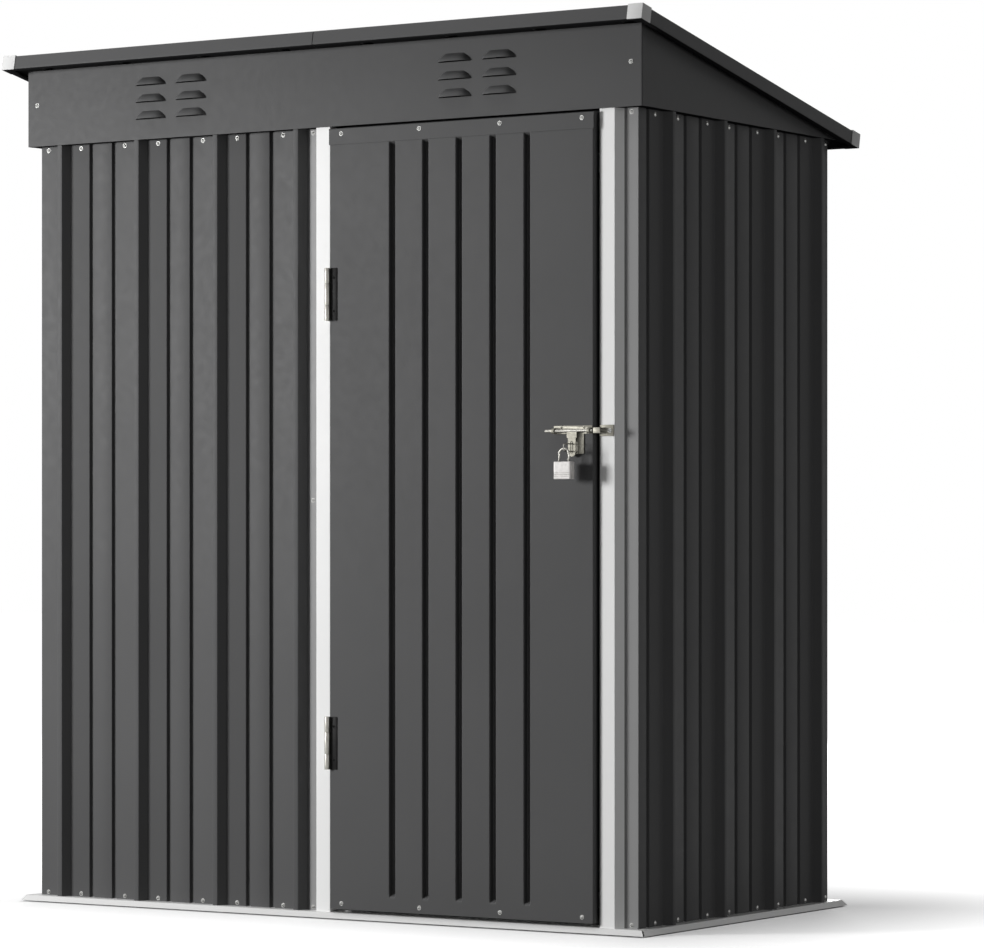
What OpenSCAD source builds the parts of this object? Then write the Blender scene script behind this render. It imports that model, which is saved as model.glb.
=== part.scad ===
// Metal storage shed with a single-slope roof and one hinged door.
// The origin lies on the ground, under the middle of the roof. The door is in the front, at -Y.

/* [Walls] */
// Width over the flat of the wall sheets, corner to corner
wall_w = 1481; // [1440:1:1600]
// Depth over the flat of the wall sheets, front to back
wall_d = 777; // [740:1:900]
// Height of the upper edge of the wall sheets above the ground
wall_h = 1608; // [1500:0.5:1700]
// Thickness of the wall, roof and door sheets
sheet_t = 1; // [0.8:0.1:1.5]
// Thickness of the rails, posts and brackets
frame_t = 1.5; // [1.2:0.1:2]

/* [Corrugation] */
// Distance from one raised rib to the next
rib_pitch = 205; // [195:1:215]
// Height of a rib over the flat of the sheet
rib_h = 18; // [14:0.5:22]
// Width of a rib's flat top
rib_top = 12; // [8:0.5:16]
// Width of each sloping flank of a rib
rib_flank = 9; // [6:0.5:12]
// Distance between the two grooves that lie between ribs
groove_gap = 60; // [50:1:70]
// Width of a groove at its mouth
groove_w = 11; // [9:0.5:14]
// Width of a groove at its bottom
groove_floor = 5; // [3:0.5:7]
// Depth of a groove
groove_d = 6; // [4:0.5:8]
// First rib of the front sheet, from the left corner
front_rib = 62.8; // [50:0.1:80]
// First rib of a side sheet, from the front corner
side_rib = 108.5; // [90:0.5:120]

/* [Base rails] */
// Height of the ledge that the wall sheets stand on
base_h = 13; // [10:0.5:20]
// Ledge that shows in front of the ribs
ledge_margin = 5.6; // [4:0.1:10]
// Spread of the sloping lip from the ledge to the ground
lip_spread = 8.4; // [4:0.1:12]
// Height of the upstand behind the sheets
upstand_h = 36; // [25:1:45]
// Width of the foot that lies on the ground inside
foot_w = 22; // [15:1:30]
// Slit between two base rails at a mitred corner
mitre_gap = 1; // [0.4:0.1:1.5]

/* [Top rails] */
// Height of a top rail's web
top_web = 40; // [30:1:50]
// Width of a top rail's flange
top_flange = 28; // [20:1:35]

/* [Fascia and gables] */
// Room between the ribs and the fascia
fascia_gap = 1.9; // [1:0.1:4]
// Return of the fascia round each front corner
fascia_return = 17; // [12:1:25]
// Width of the sloping flange under the roof
roof_flange = 15; // [10:1:20]
// Distance from the middle of the shed to the middle of a louvre group
louvre_x = 380; // [300:1:450]
// Distance between the two columns of a group
louvre_pitch_x = 105; // [95:1:120]
// Distance between the rows of a group
louvre_pitch_z = 35.3; // [30:0.1:40]
// Height of the lowest louvre's mouth over the fascia's lower edge
louvre_foot = 39.5; // [35:0.5:45]
// Width of a louvre at its mouth
louvre_w = 79; // [60:1:85]
// Width of a louvre along its upper edge
louvre_top_w = 43; // [30:1:50]
// Height of a louvre
louvre_h = 19; // [14:0.5:22]
// How far a louvre's mouth stands out
louvre_out = 9; // [6:0.5:12]

/* [Roof] */
// Slope of the roof, in degrees
roof_pitch = 11.13; // [9:0.01:13]
// Overhang of the roof over the front sheets
front_overhang = 67.6; // [60:0.1:90]
// Overhang of the roof over the back sheets
back_overhang = 52.6; // [45:0.1:70]
// Overhang of the roof over the side sheets
side_overhang = 50.8; // [46:0.1:70]
// Height of the roof edge, square to the slope
roof_edge_h = 31; // [29:0.5:40]
// Thickness of the edge trims
trim_t = 1.2; // [1:0.1:1.5]
// Upper flange of an edge trim
trim_flange = 30; // [25:1:35]
// Lower flange of an edge trim
trim_hem = 12; // [8:1:15]
// Thickness of the corner caps
cap_t = 1.5; // [1.2:0.1:2]
// Length of a corner cap along each edge
cap_leg = 34; // [28:1:40]
// Joint of the two roof halves, from the middle of the shed
seam_x = 16; // [-30:1:30]
// Width of the beam under the joint
beam_w = 40; // [30:1:50]
// Depth of the beam under the joint
beam_h = 25; // [15:1:30]

/* [Door frame] */
// Width of the white face of each door post
post_face = 34.7; // [30:0.1:40]
// Width of the sloping flank of each door post
post_flank = 12.3; // [8:0.1:15]
// Flange of the latch post, from its flank to the corner
latch_flange = 30.5; // [25:0.5:40]
// Flange of the hinge post that shows beside the front sheet
hinge_flange = 18; // [14:0.5:24]
// Flange of the hinge post that is hidden behind the front sheet
hidden_flange = 24; // [15:1:30]
// Leg of the corner angles
corner_leg = 24; // [18:1:25]

/* [Door] */
// Width of the door
door_w = 625; // [600:1:640]
// Gap between the door and each post
door_gap = 7; // [6:0.1:9]
// Gap between the door and the ledge under it
door_foot_gap = 8; // [6:0.5:12]
// Gap between the door and the fascia over it
door_head_gap = 5.5; // [5:0.1:9]
// How far the door stands out in front of the posts
door_out = 12; // [10:0.5:14]
// Depth of the door
door_depth = 20; // [18:0.5:22]
// Number of pressed grooves in the door
door_grooves = 5; // [3:1:5]
// Distance between the door's grooves
door_groove_pitch = 80; // [75:1:85]
// Width of a door groove at its mouth
door_groove_w = 14; // [11:0.5:17]
// Width of a door groove at its bottom
door_groove_floor = 7; // [5:0.5:9]
// Depth of a door groove
door_groove_d = 8; // [5:0.5:9]
// Distance from the door's lower edge to the foot of the grooves
door_groove_foot = 29; // [26:1:40]
// Height of the cap over the door's upper edge
door_cap_h = 33; // [25:1:40]
// How far the cap stands out past each side of the door
door_cap_side = 1.5; // [0.5:0.1:2]
// Height of the rail in the door's lower edge
door_rail_h = 24; // [18:1:25]

/* [Hinges] */
// Height of a hinge
hinge_h = 107; // [90:1:120]
// Distance from the door's ends to the middle of each hinge
hinge_inset = 336; // [250:1:400]
// Diameter of the barrel
barrel_d = 11; // [10:0.5:12]
// Diameter of the hinge pin
pin_d = 5; // [4:0.5:6]
// Gap between the pin and the knuckle that turns on it
pin_gap = 0.25; // [0.15:0.05:0.4]
// Share of the door's knuckle in the hinge's height
knuckle_h = 44; // [30:1:60]
// Gap between two knuckles
knuckle_gap = 0.5; // [0.3:0.1:1]
// Thickness of a hinge leaf
leaf_t = 1.5; // [1.2:0.1:1.8]
// Width of the leaf on the door
leaf_w = 15; // [12:0.5:18]

/* [Bolt and padlock] */
// Height of the bolt above the ground
bolt_z = 981; // [900:1:1050]
// Diameter of the bolt
bolt_d = 6; // [5:0.5:7]
// Gap round the bolt in its guides and keeper
bolt_gap = 0.6; // [0.4:0.1:1]
// Length of the bolt
bolt_len = 107; // [100:1:112]
// How far the drawn bolt stands past the edge of the door
bolt_past = 3; // [1:0.5:4]
// How far the bolt travels into the keeper
bolt_throw = 20; // [15:1:20]
// Width of the bolt's back plate
plate_w = 88; // [86:1:92]
// Height of the bolt's back plate
plate_h = 16; // [15.5:0.5:18]
// How far the back plate's middle lies over the bolt
plate_lift = 2; // [1:0.5:2]
// Distance from the back plate to the edge of the door
plate_edge = 1; // [0:0.1:2]
// Width of the tongue that hangs from the back plate
tongue_w = 34; // [28:1:38]
// Height of the tongue
tongue_h = 39; // [34:1:42]
// Distance from the tongue to the edge of the door
tongue_edge = 20; // [14:0.5:22]
// Thickness of the back plate
plate_t = 2; // [1.5:0.1:2.5]
// Length of each guide along the bolt
guide_w = 7; // [6:0.5:8]
// Wall of the guides and of the keeper's loop
guide_t = 2; // [1.5:0.1:2.5]
// How far the keeper's loop reaches past the end of the thrown bolt
loop_past = 1; // [0.5:0.1:2]
// Distance from the edge of the latch post's face to the keeper's loop
keeper_edge = 1; // [0.5:0.1:2]
// Height of the keeper
keeper_h = 22; // [18:1:26]
// Width of the keeper's flange
keeper_flange = 16; // [12:0.5:17]
// Room between the bolt's tab and the back plate
tab_gap = 5.2; // [5:0.1:6]
// Thickness of the bolt's tab
tab_t = 2.5; // [2:0.1:3]
// Width of the tab
tab_w = 18; // [16:0.5:20]
// Distance from the end of the bolt to the middle of the tab
tab_back = 46; // [44:0.5:52]
// Width of the flap that joins the tab to the bolt
flap_w = 23; // [20:0.5:24]
// Height of the flap, down from the middle of the bolt
flap_h = 14; // [12:0.5:18]
// Width of the slot in the tab
slot_w = 6; // [5:0.5:7]
// Height of the slot in the tab
slot_h = 23.5; // [21:0.5:26]
// Distance from the bolt down to the upper end of the slot
slot_drop = 20.5; // [18:0.5:22]
// Wall of the tab under the slot
slot_wall = 7; // [5:0.5:8]
// Thickness of the staple that stands out through the slot
staple_t = 3; // [2.5:0.1:4]
// Distance from the tab out to where the padlock hangs in the staple
staple_out = 25; // [20:0.5:26]
// Distance from the bolt down to the middle of the staple
staple_drop = 33; // [31:0.5:34]
// Height of the opening in the staple
staple_open = 12; // [10:0.5:13]
// Wall of the staple round its opening
staple_wall = 2.5; // [2:0.1:3]
// Diameter of the padlock's shackle
shackle_d = 4.5; // [4:0.5:5]
// Distance between the middles of the shackle's legs
shackle_w = 22; // [20:0.5:26]
// Height of the shackle's legs over the padlock
shackle_leg = 14.5; // [12:0.5:18]
// Gap where the shackle hangs in the staple
shackle_gap = 0.3; // [0.2:0.05:0.5]
// How far the padlock hangs to the side of the staple
lock_shift = 3; // [0:0.5:4]
// Width of the padlock
lock_w = 40; // [36:0.5:42]
// Height of the padlock
lock_h = 34; // [28:0.5:40]
// Thickness of the padlock
lock_t = 16; // [12:0.5:18]
// Radius of the padlock's upright edges
lock_r = 4; // [2:0.5:5]

/* [Hidden] */

paint_grey = [0.40, 0.40, 0.41];
paint_white = [0.92, 0.92, 0.91];
zinc_white = [0.85, 0.85, 0.84];
zinc_dark = [0.30, 0.30, 0.31];
zinc_bright = [0.70, 0.70, 0.70];

// Facets of a full circle
$fn = 64;
// A cut reaches this far past the faces that it opens
cut_past = 1;
// A hollow reaches this far past a face that it lies on
skin_past = 0.01;
// Seats that only touch keep this hair of room
seat_gap = 0.2;

sheet_in = groove_d + sheet_t;
fascia_out = rib_h + fascia_gap + sheet_t;
gable_out = fascia_out - sheet_t;
ledge_out = rib_h + ledge_margin;
base_out = ledge_out + lip_spread;

roof_run = front_overhang + wall_d + back_overhang;
roof_len = roof_run / cos(roof_pitch);
roof_w = wall_w + 2 * side_overhang;
roof_lean = roof_edge_h * sin(roof_pitch);
roof_front_y = -(roof_run - roof_lean) / 2;
roof_sheet_drop = cap_t + trim_t + rib_h + sheet_t;
front_y = roof_front_y + front_overhang;
back_y = front_y + wall_d;
mid_y = (front_y + back_y) / 2;
roof_top_z = wall_h + (back_y + rib_h - roof_front_y) * tan(roof_pitch)
    + roof_sheet_drop / cos(roof_pitch);

latch_flank_x = wall_w / 2 - latch_flange;
latch_face_x1 = latch_flank_x - post_flank;
latch_face_x0 = latch_face_x1 - post_face;
door_x1 = latch_face_x0 - door_gap;
door_x0 = door_x1 - door_w;
hinge_face_x1 = door_x0 - door_gap;
hinge_face_x0 = hinge_face_x1 - post_face;
hinge_flank_x = hinge_face_x0 - post_flank;
front_sheet_x1 = hinge_flank_x - hinge_flange;
post_out = rib_h;
jamb_in = sheet_in - seat_gap;

door_face_y = front_y - post_out - door_out;
door_back_y = door_face_y + door_depth;
door_z0 = base_h + door_foot_gap;
door_z1 = wall_h - door_head_gap;
door_mid_x = (door_x0 + door_x1) / 2;

barrel_r = barrel_d / 2;
// Shares of the barrel's radius that its middle lies beside the door's edge and before its face
barrel_beside = 0.5;
barrel_before = 0.95;
barrel_x = door_x0 - barrel_beside * barrel_r;
barrel_y = door_face_y - barrel_before * barrel_r;
hinge_z_upper = door_z1 - hinge_inset;
hinge_z_lower = door_z0 + hinge_inset;

bolt_out = plate_t + tab_gap + tab_t / 2;
bolt_y = door_face_y - bolt_out;
bolt_end_x = door_x1 + bolt_past;
bolt_hole_d = bolt_d + 2 * bolt_gap;
plate_x1 = door_x1 - plate_edge;
plate_x0 = plate_x1 - plate_w;
plate_z0 = bolt_z + plate_lift - plate_h / 2;
keeper_x0 = latch_face_x0 + keeper_edge;
keeper_loop = bolt_end_x + bolt_throw + loop_past - keeper_x0;
tab_x = bolt_end_x - tab_back;
staple_z = bolt_z - staple_drop;
staple_y = bolt_y - staple_out;
lock_x = tab_x - lock_shift;
shackle_inner_r = (shackle_w - shackle_d) / 2;
shackle_bend_z = staple_z - staple_open / 2 + shackle_gap
    - sqrt(shackle_inner_r ^ 2 - (lock_shift + staple_t / 2) ^ 2);
lock_top_z = shackle_bend_z - shackle_leg;

// Height over a place y to which pieces reach that carry the roof sheets
function roof_under(y) =
    roof_top_z - (y - roof_front_y) * tan(roof_pitch) - roof_sheet_drop / cos(roof_pitch)
    - seat_gap;

// Outline of one rib or groove that is centred at x, out from the flat of the sheet
function rib_points(x) = [
    [x - rib_top / 2 - rib_flank, 0], [x - rib_top / 2, rib_h],
    [x + rib_top / 2, rib_h], [x + rib_top / 2 + rib_flank, 0]
];
function groove_points(x) = [
    [x - groove_w / 2, 0], [x - groove_floor / 2, -groove_d],
    [x + groove_floor / 2, -groove_d], [x + groove_w / 2, 0]
];

// Outer outline of a corrugated sheet from x0 to x1, with one of its ribs at first
function sheet_line(x0, x1, first, grooved) = [
    for (i = [floor((x0 - first) / rib_pitch) : ceil((x1 - first) / rib_pitch)])
        let (rib = first + i * rib_pitch)
        for (part = grooved ? [0, 1, 2] : [0])
            let (
                x = part == 0 ? rib : rib + rib_pitch / 2 + (part - 1.5) * groove_gap,
                half = part == 0 ? rib_top / 2 + rib_flank : groove_w / 2
            )
            if (x - half > x0 && x + half < x1)
                each part == 0 ? rib_points(x) : groove_points(x)
];

// The same outline as a closed shape, one sheet thick
module sheet_outline(x0, x1, first, grooved = true) {
    line = concat([[x0, 0]], sheet_line(x0, x1, first, grooved), [[x1, 0]]);
    count = len(line);
    polygon(concat(line, [for (i = [1 : count]) line[count - i] - [0, sheet_t]]));
}

// Corrugated sheet that stands along X, with its outer side to -Y
module wall_sheet(x0, x1, first) {
    translate([0, 0, base_h])
        linear_extrude(wall_h - base_h)
            mirror([0, 1])
                sheet_outline(x0, x1, first);
}

// Places a piece that is drawn along X, with its outer side to -Y, on one wall of the shed
module on_front() { translate([0, front_y, 0]) children(); }
module on_right() { translate([wall_w / 2, mid_y, 0]) rotate(90) children(); }
module on_back() { translate([0, back_y, 0]) rotate(180) children(); }
module on_left() { translate([-wall_w / 2, mid_y, 0]) rotate(-90) children(); }

// Bar along X of the drawn cross-section, whose x runs inwards and whose y runs up
module bar(length) {
    rotate([90, 0, 90])
        linear_extrude(length, center = true)
            children();
}

// Keeps what lies between two 45 degree cuts that start at the corners of a wall
module mitred(length, out, in, gap) {
    intersection() {
        children();
        linear_extrude(2 * roof_top_z)
            polygon([
                [-length / 2 - out + gap, -out], [length / 2 + out - gap, -out],
                [length / 2 - in - gap, in], [-length / 2 + in + gap, in]
            ]);
    }
}

// Base rail: sloping lip, ledge, upstand behind the sheets and foot on the ground
module base_rail(length) {
    lip_t = frame_t * sqrt(base_h ^ 2 + lip_spread ^ 2) / base_h;
    lip_in = (base_h - frame_t) * lip_spread / base_h;
    mitred(length, base_out, sheet_in + frame_t + foot_w, mitre_gap / 2)
        bar(length + 2 * base_out)
            polygon([
                [-base_out, 0], [-ledge_out, base_h], [sheet_in, base_h],
                [sheet_in, base_h + upstand_h], [sheet_in + frame_t, base_h + upstand_h],
                [sheet_in + frame_t, frame_t], [sheet_in + frame_t + foot_w, frame_t],
                [sheet_in + frame_t + foot_w, 0], [sheet_in, 0],
                [sheet_in, base_h - frame_t], [-base_out + lip_t + lip_in, base_h - frame_t],
                [-base_out + lip_t, 0]
            ]);
}

// Top rail: web behind the sheets and a flange on their upper edge's level
module top_rail(length) {
    mitred(length, 0, sheet_in + top_flange, seat_gap)
        bar(length)
            polygon([
                [sheet_in, wall_h - top_web], [sheet_in, wall_h],
                [sheet_in + top_flange, wall_h], [sheet_in + top_flange, wall_h - frame_t],
                [sheet_in + frame_t, wall_h - frame_t], [sheet_in + frame_t, wall_h - top_web]
            ]);
}

module base_rail_front() { color(paint_white) on_front() base_rail(wall_w); }
module base_rail_right() { color(paint_white) on_right() base_rail(wall_d); }
module base_rail_back() { color(paint_white) on_back() base_rail(wall_w); }
module base_rail_left() { color(paint_white) on_left() base_rail(wall_d); }

module top_rail_front() { color(zinc_white) on_front() top_rail(wall_w); }
module top_rail_right() { color(zinc_white) on_right() top_rail(wall_d); }
module top_rail_back() { color(zinc_white) on_back() top_rail(wall_w); }
module top_rail_left() { color(zinc_white) on_left() top_rail(wall_d); }

module front_sheet() {
    color(paint_grey)
        on_front()
            wall_sheet(-wall_w / 2, front_sheet_x1, -wall_w / 2 + front_rib);
}

// Side sheets lie between the front and the back, which cover their upright edges
side_half = wall_d / 2 - frame_t;

module right_sheet() {
    color(paint_grey)
        on_right()
            wall_sheet(-side_half, side_half, -wall_d / 2 + side_rib);
}

module left_sheet() {
    color(paint_grey)
        on_left()
            wall_sheet(-side_half, side_half, wall_d / 2 - side_rib);
}

module back_sheet_left() {
    color(paint_grey)
        on_back()
            wall_sheet(0, wall_w / 2, rib_pitch / 2);
}

module back_sheet_right() {
    color(paint_grey)
        on_back()
            wall_sheet(-wall_w / 2, 0, rib_pitch / 2);
}

// Door post that stands on the ledge and reaches to the upper edge of the sheets
module upright() {
    translate([0, front_y, base_h])
        linear_extrude(wall_h - base_h)
            mirror([0, 1])
                children();
}

// Hinge post: flange behind the front sheet, flank, white face and jamb
module hinge_post() {
    flange_x = front_sheet_x1 - hidden_flange;
    flange_in = sheet_t + frame_t;
    color(paint_white)
        upright()
            polygon([
                [flange_x, -sheet_t], [hinge_flank_x, -sheet_t], [hinge_face_x0, post_out],
                [hinge_face_x1, post_out], [hinge_face_x1, -jamb_in],
                [hinge_face_x1 - frame_t, -jamb_in],
                [hinge_face_x1 - frame_t, post_out - frame_t],
                [hinge_face_x0 + frame_t, post_out - frame_t],
                [hinge_flank_x + frame_t, -flange_in], [flange_x, -flange_in]
            ]);
}

// Latch post: jamb, white face, flank, flange and a leg behind the right sheet
module latch_post() {
    leg_x = wall_w / 2 - sheet_t;
    color(paint_white)
        upright()
            polygon([
                [latch_face_x0, -jamb_in], [latch_face_x0, post_out], [latch_face_x1, post_out],
                [latch_flank_x, 0], [wall_w / 2, 0], [wall_w / 2, -frame_t], [leg_x, -frame_t],
                [leg_x, -frame_t - corner_leg], [leg_x - frame_t, -frame_t - corner_leg],
                [leg_x - frame_t, -frame_t], [latch_flank_x - frame_t, -frame_t],
                [latch_face_x1 - frame_t, post_out - frame_t],
                [latch_face_x0 + frame_t, post_out - frame_t], [latch_face_x0 + frame_t, -jamb_in]
            ]);
}

// Angle in a corner, drawn for the corner at -X and -Y with the sheets' corner at the origin
module corner_angle() {
    translate([sheet_t, frame_t, base_h])
        linear_extrude(wall_h - base_h)
            difference() {
                square(corner_leg);
                translate([frame_t, frame_t]) square(corner_leg);
            }
}

// The front sheet is thinner than the frame, so the front angle comes forward to meet it
module corner_angle_front_left() {
    color(zinc_white)
        translate([-wall_w / 2, front_y + sheet_t - frame_t, 0])
            corner_angle();
}

module corner_angle_back_left() {
    color(zinc_white)
        translate([-wall_w / 2, back_y + frame_t - sheet_t, 0])
            mirror([0, 1, 0])
                corner_angle();
}

module corner_angle_back_right() {
    color(zinc_white)
        translate([wall_w / 2, back_y + frame_t - sheet_t, 0])
            mirror([0, 1, 0])
                mirror([1, 0, 0])
                    corner_angle();
}

// Outline of a panel under the roof, from y0 to y1, with its upper edge on the roof sheets
module under_roof(y0, y1) {
    polygon([[y0, wall_h], [y0, roof_under(y0)], [y1, roof_under(y1)], [y1, wall_h]]);
}

// Outline of a strip under the roof sheets
module flange_outline(y0, y1) {
    polygon([
        [y0, roof_under(y0)], [y1, roof_under(y1)],
        [y1, roof_under(y1) - sheet_t], [y0, roof_under(y0) - sheet_t]
    ]);
}

// Hood of a louvre or the room inside it, drawn with its mouth's middle on the panel
module louvre_hood(inset) {
    intersection() {
        bar(louvre_w + cut_past)
            polygon([
                [sheet_t, 0], [sheet_t, louvre_h], [0, louvre_h - inset],
                [-louvre_out + inset, 0]
            ]);
        rotate([90, 0, 0])
            linear_extrude(2 * (louvre_out + cut_past), center = true)
                polygon([
                    [-louvre_w / 2 + inset, 0], [-louvre_top_w / 2 + inset / 2, louvre_h - inset],
                    [louvre_top_w / 2 - inset / 2, louvre_h - inset], [louvre_w / 2 - inset, 0]
                ]);
    }
}

module louvre_places() {
    for (side = [-1, 1], column = [-1, 1], row = [0 : 2])
        translate([
            side * louvre_x + column * louvre_pitch_x / 2, -fascia_out,
            wall_h + louvre_foot + row * louvre_pitch_z
        ])
            children();
}

// Fascia: front panel with louvres, lip over the sheets, sloping flange and corner returns
module fascia() {
    half_w = wall_w / 2 + gable_out;
    panel_y = front_y - fascia_out;
    lip_in = sheet_in + top_flange;
    color(paint_grey) {
        on_front() {
            difference() {
                union() {
                    mitred(wall_w, fascia_out, lip_in, seat_gap)
                        translate([0, -front_y, 0])
                            bar(2 * (half_w + sheet_t)) {
                                under_roof(panel_y, panel_y + sheet_t);
                                flange_outline(panel_y, panel_y + sheet_t + roof_flange);
                                translate([panel_y, wall_h])
                                    square([fascia_out + lip_in, sheet_t]);
                            }
                    louvre_places() louvre_hood(0);
                }
                louvre_places() translate([0, 0, -skin_past]) louvre_hood(sheet_t);
            }
        }
        for (side = [-1, 1])
            translate([side * (half_w + sheet_t / 2), 0, 0])
                bar(sheet_t)
                    under_roof(panel_y, panel_y + fascia_return);
    }
}

// Gable over the right side: panel, lip over the sheets and sloping flange
module gable() {
    panel_x = wall_w / 2 + gable_out;
    lip_in = sheet_in + top_flange;
    start_y = front_y - gable_out;
    intersection() {
        union() {
            translate([panel_x - sheet_t / 2, 0, 0])
                bar(sheet_t)
                    under_roof(start_y, back_y);
            translate([panel_x - roof_flange / 2, 0, 0])
                bar(roof_flange)
                    flange_outline(start_y, back_y);
            translate([wall_w / 2 - lip_in, start_y, wall_h])
                cube([gable_out + lip_in, back_y - start_y, sheet_t]);
        }
        linear_extrude(2 * roof_top_z)
            polygon([
                [panel_x, start_y + seat_gap], [panel_x, back_y], [wall_w / 2 - lip_in, back_y],
                [wall_w / 2 - lip_in, front_y + lip_in + seat_gap]
            ]);
    }
}

module gable_right() { color(paint_grey) gable(); }
module gable_left() { color(paint_grey) mirror([1, 0, 0]) gable(); }

// Places a piece that is drawn flat, with the roof's front edge along X and its top at z = 0
module on_roof() {
    translate([0, roof_front_y, roof_top_z])
        rotate([-roof_pitch, 0, 0])
            children();
}

// Corrugated roof half between the edge trims
module roof_half(x0, x1) {
    edge = cap_t + trim_t;
    translate([0, roof_len - edge, -roof_sheet_drop + sheet_t])
        rotate([90, 0, 0])
            linear_extrude(roof_len - 2 * edge)
                sheet_outline(x0, x1, seam_x + rib_pitch / 2, false);
}

module roof_sheet_left() {
    color(paint_grey) on_roof() roof_half(-roof_w / 2 + cap_t + trim_t, seam_x);
}

module roof_sheet_right() {
    color(paint_grey) on_roof() roof_half(seam_x, roof_w / 2 - cap_t - trim_t);
}

// Channel that carries the joint of the two halves from the fascia's flange to the back rail
module roof_beam() {
    front_end = front_y - gable_out + roof_flange;
    back_end = back_y - sheet_in - top_flange;
    length = (back_end - front_end) / cos(roof_pitch) - 2 * frame_t - beam_h * tan(roof_pitch);
    start = (front_end - roof_front_y) / cos(roof_pitch) + frame_t
        + (roof_sheet_drop + beam_h) * tan(roof_pitch);
    color(zinc_white)
        on_roof()
            translate([seam_x - beam_w / 2, start, -roof_sheet_drop - beam_h])
                difference() {
                    cube([beam_w, length, beam_h]);
                    translate([frame_t, -cut_past, frame_t])
                        cube([beam_w - 2 * frame_t, length + 2 * cut_past, beam_h]);
                }
}

// Cross-section of an edge trim, whose x runs inwards from the web and whose y runs up
module trim_outline() {
    top = -cap_t;
    foot = -roof_edge_h;
    polygon([
        [0, foot], [0, top], [trim_flange, top], [trim_flange, top - trim_t],
        [trim_t, top - trim_t], [trim_t, foot + trim_t], [trim_hem, foot + trim_t],
        [trim_hem, foot]
    ]);
}

// Length of trim along X from x0 to x1, cut at 45 degrees where it meets another trim
module trim_length(x0, x1, mitre0, mitre1) {
    reach = trim_flange + cut_past;
    intersection() {
        translate([(x0 + x1) / 2, 0, 0])
            bar(x1 - x0)
                trim_outline();
        translate([0, 0, -2 * roof_edge_h])
            linear_extrude(2 * roof_edge_h)
                polygon([
                    [x0, 0], [x1, 0], [x1 - (mitre1 ? reach : 0), reach],
                    [x0 + (mitre0 ? reach : 0), reach]
                ]);
    }
}

trim_half_w = roof_w / 2 - cap_t;
trim_half_d = roof_len / 2 - cap_t;

module roof_trim_front_left() {
    color(paint_grey)
        on_roof()
            translate([0, cap_t, 0])
                trim_length(-trim_half_w, seam_x - seat_gap, true, false);
}

module roof_trim_front_right() {
    color(paint_grey)
        on_roof()
            translate([0, cap_t, 0])
                trim_length(seam_x + seat_gap, trim_half_w, false, true);
}

module roof_trim_back() {
    color(paint_grey)
        on_roof()
            translate([0, roof_len - cap_t, 0])
                rotate(180)
                    trim_length(-trim_half_w, trim_half_w, true, true);
}

module roof_trim_left() {
    color(paint_grey)
        on_roof()
            translate([-trim_half_w, roof_len / 2, 0])
                rotate(-90)
                    trim_length(-trim_half_d, trim_half_d, true, true);
}

module roof_trim_right() {
    color(paint_grey)
        on_roof()
            translate([trim_half_w, roof_len / 2, 0])
                rotate(90)
                    trim_length(-trim_half_d, trim_half_d, true, true);
}

// White cap over a corner of the roof, drawn for the corner at the origin
module roof_cap() {
    color(paint_white)
        difference() {
            translate([0, 0, -roof_edge_h]) cube([cap_leg, cap_leg, roof_edge_h]);
            translate([cap_t, cap_t, -roof_edge_h - cap_t]) cube([cap_leg, cap_leg, roof_edge_h]);
        }
}

module roof_cap_front_left() {
    on_roof() translate([-roof_w / 2, 0, 0]) roof_cap();
}

module roof_cap_front_right() {
    on_roof() translate([roof_w / 2, 0, 0]) mirror([1, 0, 0]) roof_cap();
}

module roof_cap_back_left() {
    on_roof() translate([-roof_w / 2, roof_len, 0]) mirror([0, 1, 0]) roof_cap();
}

module roof_cap_back_right() {
    on_roof() translate([roof_w / 2, roof_len, 0]) rotate(180) roof_cap();
}

// Pressed groove of the door, or its hollow, with its mouth on the plane y = 0
module door_groove(wall, z0, z1) {
    translate([0, 0, z0 - wall])
        linear_extrude(z1 - z0 + 2 * wall)
            polygon([
                [-door_groove_w / 2 - wall, 0], [door_groove_w / 2 + wall, 0],
                [door_groove_floor / 2 + wall, door_groove_d + wall],
                [-door_groove_floor / 2 - wall, door_groove_d + wall]
            ]);
}

module door_groove_places() {
    for (i = [0 : door_grooves - 1])
        translate([door_mid_x + (i - (door_grooves - 1) / 2) * door_groove_pitch, door_face_y, 0])
            children();
}

// Door leaf: grooved front with both upright edges folded back
module door_panel() {
    top = door_z1 - sheet_t;
    groove_z0 = door_z0 + door_groove_foot;
    groove_z1 = door_z1 - door_cap_h + sheet_t;
    color(paint_grey)
        difference() {
            union() {
                translate([door_x0, door_face_y, door_z0])
                    difference() {
                        cube([door_w, door_depth, top - door_z0]);
                        translate([sheet_t, sheet_t, -cut_past])
                            cube([
                                door_w - 2 * sheet_t, door_depth,
                                top - door_z0 + 2 * cut_past
                            ]);
                    }
                door_groove_places() door_groove(sheet_t, groove_z0, groove_z1);
            }
            door_groove_places()
                translate([0, -skin_past, 0])
                    door_groove(0, groove_z0, groove_z1);
        }
}

// Cap that closes the upper edge of the door, over its front and its back
module door_cap() {
    color(paint_grey)
        translate([door_x0 - door_cap_side, door_face_y - sheet_t, door_z1 - door_cap_h])
            difference() {
                cube([door_w + 2 * door_cap_side, door_depth + 2 * sheet_t, door_cap_h]);
                translate([-cut_past, sheet_t, -sheet_t])
                    cube([
                        door_w + 2 * door_cap_side + 2 * cut_past, door_depth, door_cap_h
                    ]);
            }
}

// Channel inside the lower edge of the door
module door_rail() {
    color(zinc_white)
        translate([door_x0 + sheet_t, door_face_y + sheet_t, door_z0])
            difference() {
                cube([door_w - 2 * sheet_t, door_depth - sheet_t, door_rail_h]);
                translate([-cut_past, frame_t, frame_t])
                    cube([
                        door_w + 2 * cut_past, door_depth - sheet_t - 2 * frame_t,
                        door_rail_h
                    ]);
            }
}

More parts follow.
